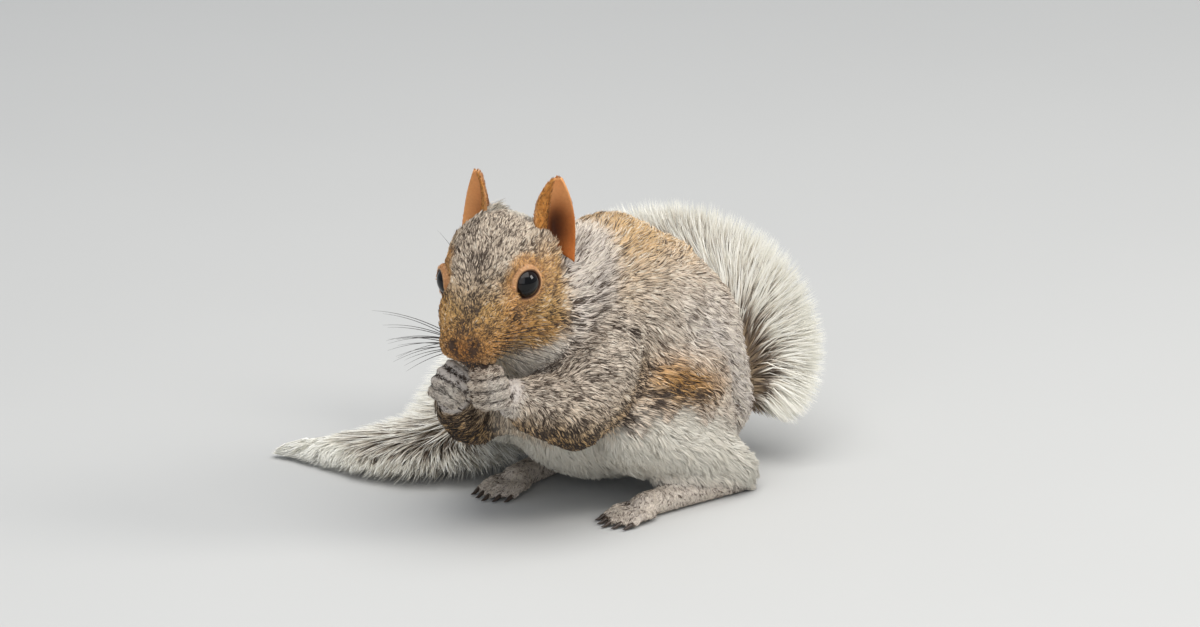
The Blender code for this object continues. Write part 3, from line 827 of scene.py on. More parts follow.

# %% [markdown]
# ## Markings
# An eastern grey squirrel is grizzled: each hair is dark with a pale band, so the coat looks
# peppered. Over that lie soft-edged markings: rust on the muzzle and flank, tan on the back, a
# buff ring round each eye, silver on the shoulders and paws and white below. The dark marking,
# with some tan and rust, also holds painted shade: under and behind the arms, between the arms
# and the fingers, in creases and in the hollow of each ear, and the inner ears carry a painted
# glow. Each marking is one number from 0 to 1 at every point of the skin. The tufts take theirs
# from the point they grow from, so skin and coat always agree.

# %% Where the markings lie
SHARES = (  # parts, and how often their share is averaged with the neighbours'
    (("head",), 8), (("neck",), 20), (("upper_arm", "forearm"), 14), (("forepaw",), 4),
    (("hind_foot",), 6), (("chest", "rump"), 30), (("thigh",), 20),
)
FACE_SPOTS = {  # in the head's frame, the same on both sides: place, reach and strength
    "muzzle": (((0, -30, -8), (9, 9.5, 7.5), 1),),
    "side_of_muzzle": (((10, -18, -8), (6, 10, 5.5), 1),),
    "lip": (((0, -26, -16), (5.5, 6.5, 3.4), 1),),
    "bridge": (((8, -22, 0), (11, 14, 9), 1),),
    "brow": (((12, -15, 1), (5, 6, 5), 1),),
    "corner_of_eye": (((13.0, -13.0, 2.6), (2.6, 2.4, 2.2), 1),),
    "below_eye": (((15, -6, -6), (8, 14, 10), 1),),
    "cheek": (((17, -1, -13.5), (6, 8, 3.6), 0.9), ((14, -9, -9), (5, 8, 6), 0.8)),
    "temple": (((17, 6, 4), (5, 9, 8), 0.55),),
    "behind_eye": (((19, 6, 4), (5, 8, 7), 1),),
    "behind_ear": (((6, 20, 17), (4, 5, 6), 1),),
    "crown": (((0, 8, 20), (16, 20, 12), 1),),
}
BODY_SPOTS = {  # on the body: place, reach and strength
    "flank": (((59, -2, 49), (14, 12, 8), 1), ((61, 13, 44), (14, 14, 7), 0.8),
              ((-11, -2, 49), (14, 12, 8), 1), ((-13, 13, 44), (14, 14, 7), 0.8)),
    "low_flank": (((59, -6, 41), (16, 24, 9), 1), ((-11, -6, 41), (16, 24, 9), 1)),
    # painted shade behind the elbow
    "behind_elbow": (((59, -6, 41), (16, 20, 8), 1),),
    # painted shade at the elbows, low on the arms
    "elbow": (((62, -44, 38), (13, 15, 10), 1), ((24, -60, 34), (12, 14, 9), 1)),
    "heel": (((62, 32, 12), (9, 8, 13), 1), ((-9, 22, 12), (9, 8, 13), 1)),
    # painted shade where the upper arm meets the body
    "seam": (((57, -17.6, 69), (6, 3, 5), 1),),
    "shoulder": (((49, -24, 76), (13, 13, 13), 1),),
    "chest": (((24, -38, 42), (17, 16, 26), 1),),
}
PALE_LINE = ((12, -8, -19), (17.6, -2.1, -21.0), (22.5, 3.5, -17.5))
CHEEK_STREAK = ((12, -16, -3), (18.5, -2, -8), (20.5, 5, -11))
NOSE_RIDGE = ((0, -12, 12), (0, -27, 1))
EAR_FOLD = -0.22  # how far across the ear its folded front edge starts

position_of_point = np.zeros(len(skin.points))
on_tail = np.flatnonzero(belongs("tail"))
fine_steps = np.linspace(0, TAIL_END, 200)
fine_points = along_tail(fine_steps)[:, :3]
run = np.concatenate([[0], np.cumsum(np.linalg.norm(np.diff(fine_points, axis=0), axis=1))])
nearest = np.linalg.norm(skin.points[on_tail, None] - fine_points[None, ::2], axis=2).argmin(1)
position_of_point[on_tail] = fine_steps[::2][nearest]


def spots(points, table):
    """For each name in a table, the sum of its soft spots."""
    return {name: sum(strength * spot(points, place, reach) for place, reach, strength in rows)
            for name, rows in table.items()}


print("spots:", len(FACE_SPOTS) + len(BODY_SPOTS))


# %% Paint the markings as numbers
def markings(skin):
    """The strength of each marking at the skin's points. The dark one also holds painted shade."""
    places, edges = skin.points, skin.edges
    x, y, z = places.T
    _, faces_y, faces_z = skin.normals.T
    face = in_head(places)
    far_ear = step(face[:, 0], 0.0, -1.0)
    face[:, 0] = np.abs(face[:, 0])
    out, ahead, above = face.T
    at = SimpleNamespace(**spots(face, FACE_SPOTS), **spots(places, BODY_SPOTS))
    lids, ear_in, ear_out, tail = (1.0 * belongs(n) for n in ("lid", "ear_in", "ear_out", "tail"))
    head, neck, arms, paws, feet, trunk, thighs = (
        spread(belongs(*parts), edges, times) for parts, times in SHARES)
    head = head + lids
    front, sides, limbs = trunk + neck, trunk + thighs, np.clip(paws + feet, 0, 1)
    # painted shade: how hollow the skin is, in creases and folds
    crease_shade = dot(spread(places, edges, 6) - places, skin.normals)[:, 0]
    crease_shade = np.clip(crease_shade / 0.22, 0, 1)
    # how far each point lies between two fingers; the fur there is darkened as painted shade
    between = by_fingers(places)[1]
    wavy = ripple(places, 16, 5) * 0.5 + ripple(places, 7, 6) * 0.3
    # painted shade: 1 where the skin faces down; it darkens the fur under the arms
    underside_shade = step(spread(skin.normals, edges, 40)[:, 2], 0.5, -0.9)
    top = step(faces_z, 0.15, 0.85)
    flank = np.clip(at.flank, 0, 1)

    to_eye = np.linalg.norm((face - EYE_IN_HEAD) * (0.9, 0.85, 1.0), axis=1)
    eye_ring = step(to_eye, 9.4, 7.0) * head
    over_eye = step(above - EYE_IN_HEAD[2], 0.0, 5.0)
    lip = head * at.lip
    chin = head * step(above + 0.12 * ahead, -17.5, -20.5) * step(ahead, -26, -18)
    chin *= step(out, 9.0, 3.0)
    jaw = head * step(above, -17.0, -20.5) * step(out, 3.0, 9.0)
    pale_line = head * near_line(face, PALE_LINE, 1.8)
    nostrils = np.maximum(near_line(face, NOSTRIL, 1.5), near_line(face, MOUTH, 1.4))
    nostrils = nostrils * (ahead < -20)

    edge = 35.5 - 12 * step(y, 0, 36) - 9 * step(y, -22, -36)
    belly = step(z + 4 * wavy - edge, 3.5, -3.5) * sides * step(y + 2 * wavy, 44, 32)
    chest = at.chest * front * step(faces_y, 0.4, -0.2)
    near_throat = step(x, 34, 44) * front * step(z, 44, 54)
    # painted shade: the low chest between the arms is made darker and tan in place of white
    shade_between_arms = step(z, 25, 33) * front

    rust = 0.85 * at.muzzle + 0.45 * at.side_of_muzzle + 0.3 * at.cheek
    rust = head * (np.clip(rust, 0, 1) + 0.45 * at.brow) + 0.4 * lip
    # painted shade: the rust on the arms' undersides tints the shade there
    rust += 0.34 * at.flank * sides + 0.10 * arms * step(faces_z, 0.0, -0.8)
    rust += 0.8 * ear_out + 0.85 * ear_in * step(skin.across_ear, 0.0, EAR_FOLD)
    rust += 0.30 * eye_ring * (1 - lids)

    tan = np.clip(0.9 * at.cheek + 1.3 * at.temple, 0, 1) + 0.6 * step(above, 14, -4)
    tan = head * (tan + 0.75 * at.bridge + 0.5 * at.below_eye) + 0.2 * thighs
    tan += trunk * (0.85 * top * step(z, 62, 88) + 0.35 * step(y, 30, 60))
    # painted shade: the tan on the arms' undersides tints the shade there; the tan on the flanks is
    # the fur's own
    tan += 0.5 * (arms * step(faces_z, 0.3, -0.7) + (at.flank + at.low_flank) * sides)
    tan += 0.9 * eye_ring * (1 - lids) + 0.5 * chest * shade_between_arms
    # painted shade: the elbows' shade is tinted tan
    tan = tan * (1 - 0.8 * jaw) + 0.35 * at.elbow * arms

    silver = (0.75 * neck + 0.25 * trunk * (1 - 0.6 * top)) * (1 - 0.8 * flank)
    silver += 0.6 * thighs * (1 - flank) + 0.65 * trunk * step(y, 0, 25) * (1 - top)
    silver += 0.7 * paws + 0.6 * feet + 0.2 * arms * step(faces_z, -0.3, 0.5)
    silver += 0.7 * jaw + 0.5 * pale_line

    white = belly + chest * (1 - near_throat) * (1 - 0.8 * shade_between_arms)
    white += 0.6 * chin * (1 - lip) + 1.5 * at.behind_ear * head + 0.45 * jaw + 0.5 * pale_line
    tail_tip = tail * step(position_of_point, TAIL_END - 2.0, TAIL_END - 0.5)
    white = np.maximum(np.clip(white, 0, 1), tail_tip)

    buff = np.max([
        np.clip(0.3 * eye_ring + lids * (0.9 - 0.35 * over_eye), 0, 1),
        0.6 * (ear_out + ear_in) * step(np.abs(skin.across_ear), 0.85, 1.0),
        0.7 * ear_out * step(skin.up_ear, 0.55, 1.0),
        0.25 * pale_line,
        0.4 * head * at.behind_eye], axis=0)

    # dark: the fur's own dark markings first; painted shade is added further down
    dark = 0.28 - 0.25 * pale_line - 0.28 * jaw - 0.15 * at.cheek + 0.12 * at.crown
    dark += 0.45 * near_line(face, CHEEK_STREAK, 2.2) + 0.10 * at.muzzle
    dark = head * (dark + 0.25 * near_line(face, NOSE_RIDGE, 5))
    dark += 0.7 * nostrils + 0.9 * lip + 0.8 * (head + lids) * at.corner_of_eye
    # painted shade between the arms and where the upper arm meets the body
    dark += 0.3 * lids * over_eye + 0.5 * chest * shade_between_arms + 0.5 * at.seam
    # painted shade: the arms are darkened below and round the elbows
    dark += arms * (0.22 + 0.5 * underside_shade + 0.35 * at.elbow) * (1 - paws)
    dark += 0.9 * at.heel * (thighs + feet) + 0.25 * at.shoulder * front
    # painted shade behind the elbow, under the arm
    dark += (0.55 * at.behind_elbow + 0.25 * at.flank) * sides
    # painted shade in the creases of the limbs, arms and neck
    dark += crease_shade * (0.8 * limbs + 0.5 * (arms + neck))
    in_ear = np.stack([skin.across_ear, skin.up_ear, np.zeros(len(x))], 1)
    # painted shade in the hollow of the inner ear, weaker on the far ear, which is lit from behind
    dark += (1 - 0.8 * far_ear) * ear_in * spot(in_ear, (0.3, 0.26, 0), (0.5, 0.36, 1))
    dark += 0.5 * ear_out * step(skin.up_ear, 0.22, 0.0)

    on_paw = np.clip(paws * 1.6, 0, 1)
    rust, tan, white, dark = (mask * (1 - on_paw) for mask in (rust, tan, white, dark))
    silver = np.maximum(silver, on_paw)
    blotches = (0.35 + 0.25 * (x < 40)) * step(ripple(places, 3.5, 7), 0.3, 0.9)
    # painted shade between the fingers; the blotches are a mottled pattern on the paws
    dark = dark + on_paw * (1.4 * between + blotches)
    masks = dict(rust=rust, tan=tan, buff=buff, silver=silver, white=white, dark=dark)
    return {name: np.clip(mask * (1 + 0.12 * wavy), 0, 1) for name, mask in masks.items()}


skin.marks = markings(skin)
skin.marks["bare"] = skin.bare
skin.marks["tan"] = np.where(belongs("ear_in"), 1.0, skin.marks["tan"])
skin.marks["inner"] = belongs("ear_in") * (1 - step(skin.across_ear, 0.0, EAR_FOLD))
# painted light: the inner ear glows pale towards its top and all over the far ear, as if lit
# through from behind
lit_ear = 0.9 * step(in_head(skin.points)[:, 0], 0, -1)
skin.marks["glow"] = np.maximum(step(skin.up_ear, 0.25, 0.85), lit_ear) * (skin.up_ear > 0)
print("markings:", {name: float(mask.mean().round(3)) for name, mask in skin.marks.items()})

# %% [markdown]
# ## The skin as an object
# The arrays become a mesh, with the markings as attributes that its material reads. It is
# unwrapped by Smart UV Project into a map named OFBake, which gives each point a place for its
# colour, and the tufts borrow those places.

# %% Make meshes from arrays
def mesh_object(name, points, corners, sizes):
    """An object from points in mm and faces, given as their corners in a row and their sizes."""
    mesh = bpy.data.meshes.new(name)
    mesh.vertices.add(len(points))
    mesh.vertices.foreach_set("co", (points * MM).astype(np.float32).ravel())
    mesh.loops.add(len(corners))
    mesh.loops.foreach_set("vertex_index", corners.astype(np.int32))
    mesh.polygons.add(len(sizes))
    mesh.polygons.foreach_set("loop_start", (np.cumsum(sizes) - sizes).astype(np.int32))
    mesh.polygons.foreach_set("loop_total", sizes.astype(np.int32))
    mesh.update(calc_edges=True)
    mesh.shade_smooth()
    made = bpy.data.objects.new(name, mesh)
    bpy.context.scene.collection.objects.link(made)
    return made


def store(obj, name, values):
    attribute = obj.data.attributes.new(name, "FLOAT", "POINT")
    attribute.data.foreach_set("value", values.astype(np.float32))


skin_piece = mesh_object("skin", skin.points, skin.faces.ravel(), np.full(len(skin.faces), 3))
for name, mask in skin.marks.items():
    store(skin_piece, name, mask)

bpy.context.view_layer.objects.active = skin_piece
skin_piece.select_set(True)
bpy.ops.object.mode_set(mode="EDIT")
bpy.ops.mesh.select_all(action="SELECT")
bpy.ops.uv.smart_project(angle_limit=math.radians(75), island_margin=0.002)
bpy.ops.object.mode_set(mode="OBJECT")
skin_map = skin_piece.data.uv_layers.active
skin_map.name = "OFBake"
skin.uv = np.empty(len(skin_map.data) * 2, np.float32)
skin_map.data.foreach_get("uv", skin.uv)
skin.uv = skin.uv.reshape(-1, 3, 2)
print("unwrapped", len(skin.uv), "triangles")

# %% [markdown]
# ## The coat
# A tuft is a thin blade of two or more lengths that ends in a point. It leaves the skin at a
# slant, bends over with it and lies back along the body. Tufts gather into locks: the tips of
# neighbours lean together, and a lock shares some of its shade and its turn. That is what makes
# fur look like fur and not like a brush.

# %% Where tufts grow
BODY_HAIR = {  # length, width and lift of a tuft, for each part
    "head": (3.2, 0.34, 0.30), "neck": (6.8, 0.46, 0.30), "chest": (6.8, 0.48, 0.24),
    "rump": (7.0, 0.50, 0.22), "upper_arm": (5.6, 0.44, 0.28), "forearm": (3.8, 0.38, 0.26),
    "forepaw": (1.0, 0.20, 0.12), "thigh": (6.6, 0.48, 0.24), "hind_foot": (1.8, 0.28, 0.15),
    "tail": (9.0, 0.5, 0.5), "ear_out": (1.5, 0.22, 0.22), "ear_in": (1.2, 0.16, 0.25),
    "lid": (1.2, 0.2, 0.22),
}
FACE_HAIR = (1.5, 0.22, 0.26)
LONGER = {  # what is added to length, width and lift
    "behind_ears": (4.0, 0.0, 0.35), "under_cheek": (0.6, 0.0, 0.16), "ear_roots": (2.0, 0.1, 0.2),
}
NOSE_MIDDLE = (0, -31.5, -8.5)
ABOVE_GROUND = 0.6

hair = np.stack([by_part({name: values[k] for name, values in BODY_HAIR.items()})
                 for k in range(3)], 1)
at_head = in_head(skin.points)
folded = np.abs(at_head * (1, 0, 0)) + at_head * (0, 1, 1)
on_head = belongs("head")
to_eye = np.minimum(*(np.linalg.norm(at_head - place, axis=1) for place in EYE_AT.values()))
facial = np.maximum(step(at_head[:, 1], -8, -24) * step(at_head[:, 2], -18, -13),
                    step(to_eye, 12, 8)) * on_head
hair += (np.array(FACE_HAIR) - hair) * facial[:, None]
hair = spread(hair, skin.edges, 16)
is_paw = spread(belongs("forepaw"), skin.edges, 2)
hair += (np.array(BODY_HAIR["forepaw"]) - hair) * is_paw[:, None]
near_nose = step(np.linalg.norm(at_head - NOSE_MIDDLE, axis=1), 11.0, 4.0) * on_head
hair[:, 0] *= 1 - 0.6 * near_nose
where_longer = {
    "behind_ears": spot(at_head * (-1, 1, 1), (6, 20, 17), (3.5, 4, 6)),
    "under_cheek": step(at_head[:, 2], -15.0, -19.0) * (at_head[:, 1] > -18),
    "ear_roots": spot(folded, (20, 15, 7), (5, 5, 6)),
}
for name, more in LONGER.items():
    hair += (where_longer[name] * on_head)[:, None] * more

near_nostril = np.maximum(near_line(at_head, NOSTRIL, 1.5), near_line(at_head, MOUTH, 1.2))
near_nostril = near_nostril * (at_head[:, 1] < -20)
grows = np.clip(1 - 3.0 * np.maximum(skin.bare, near_nostril - 0.25), 0, 1)
grows *= (skin.points[:, 2] > ABOVE_GROUND) * (1 - skin.marks["inner"])
for place in EYE_AT.values():
    grows[np.linalg.norm(at_head - place, axis=1) < EYE_RADIUS + 0.35] = 0
grows[belongs("lid")] *= 5  # set against the ears, which share their piece
print("tufts:", hair.min(0).round(2), "to", hair.max(0).round(2), "(length, width, lift)")


def roots_on(parts, count, weight=1.0):
    """Places for this many tufts, spread evenly over the named parts of the skin."""
    a, b, c = (skin.points[skin.faces[:, corner]] for corner in range(3))
    area = np.linalg.norm(np.cross(b - a, c - a), axis=1)
    area *= (grows * weight)[skin.faces].mean(1) * belongs(*parts)[skin.faces[:, 0]]
    reach = np.cumsum(area)
    chosen = np.searchsorted(reach, (np.arange(count) + chance.random(count)) / count * reach[-1])
    chosen = np.minimum(chosen, len(area) - 1)
    share = chance.random((count, 2))
    share = np.where(share.sum(1, keepdims=True) > 1, 1 - share, share)
    share = np.concatenate([1 - share.sum(1, keepdims=True), share], 1)

    def mixed(values):
        return np.einsum("nk,nk...->n...", share, values[skin.faces[chosen]])

    roots = SimpleNamespace(
        points=mixed(skin.points), normals=unit(mixed(skin.normals)), bend=mixed(skin.bend),
        hair=mixed(hair), uv=np.einsum("nk,nkc->nc", share, skin.uv[chosen]),
        marks={name: mixed(mask) for name, mask in skin.marks.items()})
    roots.flow = mixed(skin.flow)
    roots.flow = unit(roots.flow - roots.normals * dot(roots.flow, roots.normals))
    return roots


# %% Build the tufts
UV_PATCH = 0.003
MARK_NAMES = ("rust", "tan", "buff", "silver", "white", "dark")


def locks_of(points, each):
    """For each point the nearest of a random few, one for this many points."""
    seeds = chance.permutation(len(points))[: max(1, len(points) // each)]
    tree = KDTree(len(seeds))
    for seed in seeds:
        tree.insert(points[seed], int(seed))
    tree.balance()
    return np.array([tree.find(point)[1] for point in points])


def blades(name, lines, widths, sides, roots, shade, reach=1.0, pale=0.0):
    """One joined mesh of blades: lines is tufts x places x 3, widths are half widths along them."""
    count, places = lines.shape[:2]
    left = lines[:, :-1] + sides[:, None] * widths[:, :-1, None]
    right = lines[:, :-1] - sides[:, None] * widths[:, :-1, None]
    corners = np.concatenate([left, right, lines[:, -1:]], 1).reshape(-1, 3)
    lengths = places - 1
    each = 2 * lengths + 1
    pattern = []
    for k in range(lengths - 1):
        pattern += [k, k + 1, lengths + k + 1, lengths + k]
    pattern += [lengths - 1, 2 * lengths, 2 * lengths - 1]
    loops = (np.arange(count)[:, None] * each + np.array(pattern)).ravel()
    sizes = np.tile([4] * (lengths - 1) + [3], count)
    piece = mesh_object(name, corners, loops, sizes)

    up = np.linspace(0, 1, places)
    along = np.concatenate([up[:-1], up[:-1], up[-1:]])
    across = np.concatenate([np.full(lengths, -0.5), np.full(lengths, 0.5), [0.0]])
    spots = roots.uv[:, None] + UV_PATCH * np.stack([across, along - 0.5], 1)[None]
    uv = piece.data.uv_layers.new(name="OFBake")
    uv.data.foreach_set("uv", spots.reshape(-1, 2)[loops].astype(np.float32).ravel())
    reach, pale = (np.repeat(np.broadcast_to(value, count), each) for value in (reach, pale))
    store(piece, "along", pale + (1 - pale) * reach * np.tile(along, count))
    store(piece, "shade", np.repeat(shade, each))
    for mark in MARK_NAMES:
        store(piece, mark, np.repeat(roots.marks[mark], each))
    return piece


LOCK_SIZE, TUFT_SIZE = 14, 4  # tufts to a lock, and hairs of one shade to a tuft
TOUSLE, LEAN = 0.16, 0.45  # how far tufts stray, and how far a lock's tips lean together
HALF_WIDTHS = np.array((0.8, 1.0, 0.0)) / 2  # at root, middle and tip
SUNK_ROOT, OVER_GROUND = 0.25, 0.2


def drawn_together(tips, lock, share, most):
    """How far each tip moves towards the tip of its lock's middle."""
    together = tips[lock] - tips
    far = np.linalg.norm(together, axis=1, keepdims=True)
    return together * share * np.clip(most / np.maximum(far, 1e-6), 0, 1)


def coat(name, parts, count):
    """A piece of the coat: this many tufts on the named parts."""
    each = (count, 1)
    roots = roots_on(parts, count)
    lock = locks_of(roots.points, LOCK_SIZE)
    length, width, lift = roots.hair.T[:, :, None]
    length = length * chance.uniform(0.75, 1.12, each) * chance.uniform(0.85, 1.1, each)[lock]
    width = width * chance.uniform(0.6, 1.1, each)
    sway = chance.normal(0, TOUSLE, each) + chance.normal(0, TOUSLE * 1.3, each)[lock]
    lift = lift * (1 + chance.normal(0, 0.2, each) + chance.normal(0, 0.25, each)[lock])
    beside = np.cross(roots.normals, roots.flow)
    sway = sway + 0.16 * ripple(roots.points, 11, 8)[:, None]
    ahead = unit(roots.flow + beside * sway)
    bend = np.minimum(roots.bend[:, None], 1.2 * np.abs(lift) / length)
    middle = ahead * 0.5 * length + roots.normals * (0.62 * lift * length - bend * length**2 / 8)
    end = ahead * length + roots.normals * (lift * length * 0.95 - bend * length**2 / 2)
    tips = roots.points + end
    together = drawn_together(tips, lock, LEAN, 2.2)
    start = roots.points - roots.normals * SUNK_ROOT
    lines = np.stack([start, roots.points + middle + together * 0.3, tips + together], 1)
    lines[:, :, 2] = np.maximum(lines[:, :, 2], OVER_GROUND)
    turn = chance.normal(0, 0.45, each)
    sides = unit(np.cross(roots.normals, ahead) * np.cos(turn) + roots.normals * np.sin(turn))
    tuft = locks_of(roots.points, TUFT_SIZE)
    shade = np.clip(0.5 * chance.random(count) + 0.5 * chance.random(count)[tuft]
                    + 0.08 * ripple(roots.points, 9, 9), 0, 1)
    return blades(name, lines, width * HALF_WIDTHS, -sides, roots, shade)


COATS = (  # name, parts and number of tufts
    ("coat_head", ("head",), 62000),
    ("coat_lids_ears", ("lid", "ear"), 14000),
    ("coat_neck", ("neck",), 34000),
    ("coat_chest", ("chest",), 62000),
    ("coat_rump", ("rump",), 60000),
    ("coat_arms", ("upper_arm", "forearm"), 60000),
    ("coat_paws", ("forepaw", "hind_foot"), 30000),
    ("coat_thighs", ("thigh",), 58000),
)
coats = [coat(*row) for row in COATS]
print("coat:", sum(len(piece.data.polygons) * 3 // 2 for piece in coats), "triangles")

# %% [markdown]
# ## The brush of the tail
# The tail's hair is the longest, and it stands out to both sides of the thin core like the barbs
# of a feather. Each hair is aimed at a place on the edge of the brush a little farther along the
# tail, and is longer there than it is above and below. Its colour bands run along the hair, so
# they show as stripes that follow the tail: brown roots, dark middles and long white tips.

# %% Tail hair
TAIL_PIECES = (("coat_tail_base", 0.0, 4.4, 37000), ("coat_tail_end", 4.4, TAIL_END, 32000))
TAIL_SHARE = np.array((0.0, 0.33, 0.7, 1.0))[None, :, None]
TAIL_WIDTHS = np.array((0.8, 1.0, 0.8, 0.0))
SHORTEST, SAG, FARTHEST = 16.0, 2.5, 11  # shortest hair, droop of a tip, reach past the core's end


def tail_frame(position):
    """Core, the way ahead, the way out, the way up, half width and half thickness."""
    rows = along_tail(position)
    ahead = unit(along_tail(position + 0.05)[:, :3] - along_tail(position - 0.05)[:, :3])
    out = unit(rows[:, 3:6] - ahead * dot(rows[:, 3:6], ahead))
    wide, thick = np.maximum(rows[:, 6:7], 2.5), np.maximum(rows[:, 7:8], 2.0)
    return rows[:, :3], ahead, out, np.cross(ahead, out), wide, thick


def tail_coat(name, low, high, count):
    """A piece of the tail's hair: this many hairs between two positions along the core."""
    each = (count, 1)
    at = position_of_point
    denser = 1.0 + 2.0 * step(at, TAIL_END - 1.6, TAIL_END - 0.6) + 1.2 * step(at, 1.8, 0.8)
    roots = roots_on(("tail",), count, ((at >= low) & (at < high)) * denser)
    away = np.linalg.norm(roots.points[:, None] - fine_points[None, ::4], axis=2).argmin(1)
    position = np.clip(fine_steps[::4][away] + chance.uniform(-0.13, 0.13, count), 0, TAIL_END)
    at_end = step(position, TAIL_END - 2.5, TAIL_END - 1.0)
    core, ahead, out, up, wide, thick = tail_frame(position)
    radial = roots.points - core
    angle = np.arctan2(dot(radial, up), dot(radial, out))
    angle = angle - 0.42 * np.sin(2 * angle) + chance.normal(0, 0.2, each)
    reach = chance.uniform(0.86, 1.10, each)
    reach = np.where(chance.random(each) < 0.42, reach * chance.uniform(0.4, 0.85, each), reach)

    # where its tip lies: on the edge of the brush, a little farther along
    edge = np.hypot(wide * np.cos(angle), thick * np.sin(angle))
    length = np.maximum(1.08 * wide, SHORTEST) * reach
    onward = np.sqrt(np.maximum(length**2 - (edge * reach) ** 2, (0.30 * length) ** 2))
    onward *= (0.25 + 0.75 * step(position, 0.2, 1.6))[:, None]
    distance = np.interp(position, fine_steps, run) + onward[:, 0]
    core2, ahead2, out2, up2, wide2, thick2 = tail_frame(np.interp(distance, run, fine_steps))
    beyond = np.clip(distance - run[-1], 0, FARTHEST)[:, None] * chance.uniform(0.35, 1.0, each)
    narrow = np.where(beyond > 0, chance.uniform(0.1, 1.0, each), 1.0)
    narrow = reach * (1 - 0.07 * beyond) * narrow
    tips = core2 + ahead2 * beyond
    tips = tips + narrow * (out2 * wide2 * np.cos(angle) + up2 * thick2 * np.sin(angle))
    tips[:, 2] -= SAG * reach[:, 0]
    lock = locks_of(roots.points + 0.35 * (tips - roots.points), 10)
    tips = tips + drawn_together(tips, lock, 0.3, 4.0)

    start = roots.points - unit(radial) * 0.5
    bow = start + unit(radial + 0.5 * ahead * length) * length * 0.42
    bow += chance.normal(0, 0.5, (count, 3))
    share = TAIL_SHARE
    lines = start[:, None] * (1 - share) ** 2 + 2 * bow[:, None] * share * (1 - share)
    lines = lines + tips[:, None] * share**2
    lines[:, :, 2] = np.maximum(lines[:, :, 2], 0.25 + chance.random(each))
    sides = unit(np.cross(tips - start, up))
    turn = chance.normal(0, 0.5, each)
    sides = unit(sides * np.cos(turn) + up * np.sin(turn))
    widths = chance.uniform(0.22, 0.40, each) * TAIL_WIDTHS
    shade = np.clip(0.45 * chance.random(count) + 0.55 * chance.random(count)[lock], 0, 1)
    shade = shade + 0.6 * at_end - 0.25 * step(position, 5.5, 7.5) * (1 - at_end)
    shade = np.clip(shade - 0.22 * step(position, 1.6, 2.4) * step(position, 5.0, 4.0), 0, 1.2)
    return blades(name, lines, widths, sides, roots, shade, reach[:, 0], 0.8 * at_end)


tail_coats = [tail_coat(*row) for row in TAIL_PIECES]
print("tail:", [round(1000 * d) for d in (tail_coats[0].dimensions)], "mm")

# %% [markdown]
# ## Eyes, claws and whiskers
# The eyeballs are smooth spheres that sit behind the lids. Claws and whiskers are both tapered
# and bent, so one helper makes them: circles along a curve, bridged one to the next.

# %% Eyeballs
def eyeball(name, side):
    """A sphere whose points know how near they are to the way the eye looks."""
    bm = bmesh.new()
    bmesh.ops.create_uvsphere(bm, u_segments=64, v_segments=40, radius=EYE_RADIUS * MM)
    looks = Vector((EYE_LOOKS * (side, 1.0, 1.0)) @ HEAD.T)
    gaze = bm.verts.layers.float.new("gaze")
    for vert in bm.verts:
        vert[gaze] = vert.co.z / (EYE_RADIUS * MM)
    bmesh.ops.rotate(bm, matrix=looks.to_track_quat("Z", "Y").to_matrix(), verts=bm.verts)
    bmesh.ops.translate(bm, vec=Vector(from_head(EYE_AT[name])) * MM, verts=bm.verts)
    return object_from(bm, "eyeball_" + name)


eyeballs = {name: eyeball(name, side) for name, side in SIDES.items()}
print("eyeballs:", 2 * EYE_RADIUS, "mm across")

# %% Tapered and bent pieces
def add_horn(bm, line, radii, sides):
    """Circles along a line of points in mm, bridged one to the next and closed at the ends."""
    rings = []
    line = [Vector(point) for point in line]
    for number, (place, radius) in enumerate(zip(line, radii)):
        ahead = line[min(number + 1, len(line) - 1)] - line[max(number - 1, 0)]
        turn = ahead.to_track_quat("Z", "Y").to_matrix().to_4x4()
        ring = bmesh.ops.create_circle(bm, cap_ends=False, segments=sides, radius=radius * MM,
                                       matrix=Matrix.Translation(place * MM) @ turn)
        rings.append(list({edge for vert in ring["verts"] for edge in vert.link_edges}))
    for first, second in zip(rings, rings[1:]):
        bmesh.ops.bridge_loops(bm, edges=first + second)
    bmesh.ops.holes_fill(bm, edges=[edge for edge in bm.edges if edge.is_boundary], sides=0)


def horns(name, curves, sides):
    """One piece of many tapered horns: curves is a list of lines and their radii."""
    bm = bmesh.new()
    for line, radii in curves:
        add_horn(bm, line, radii, sides)
    bmesh.ops.recalc_face_normals(bm, faces=bm.faces)
    return object_from(bm, name)


CLAW_STEPS, CLAW_TAPER, CLAW_BEND = (-0.15, 0.2, 0.5, 0.8, 1.0), (1.0, 0.95, 0.7, 0.4, 0.08), 0.3


def claw_curve(root, ahead, bends, length, radius):
    """A claw's line, kept above the ground, and its radii."""
    ahead, bends = ahead.normalized(), bends.normalized()
    line = [root + ahead * length * t + bends * length * CLAW_BEND * t * t for t in CLAW_STEPS]
    line = [Vector((point.x, point.y, max(point.z, radius))) for point in line]
    return line, [radius * share for share in CLAW_TAPER]


claw_piece = horns("claws", [claw_curve(*claw) for claw in claws], 8)

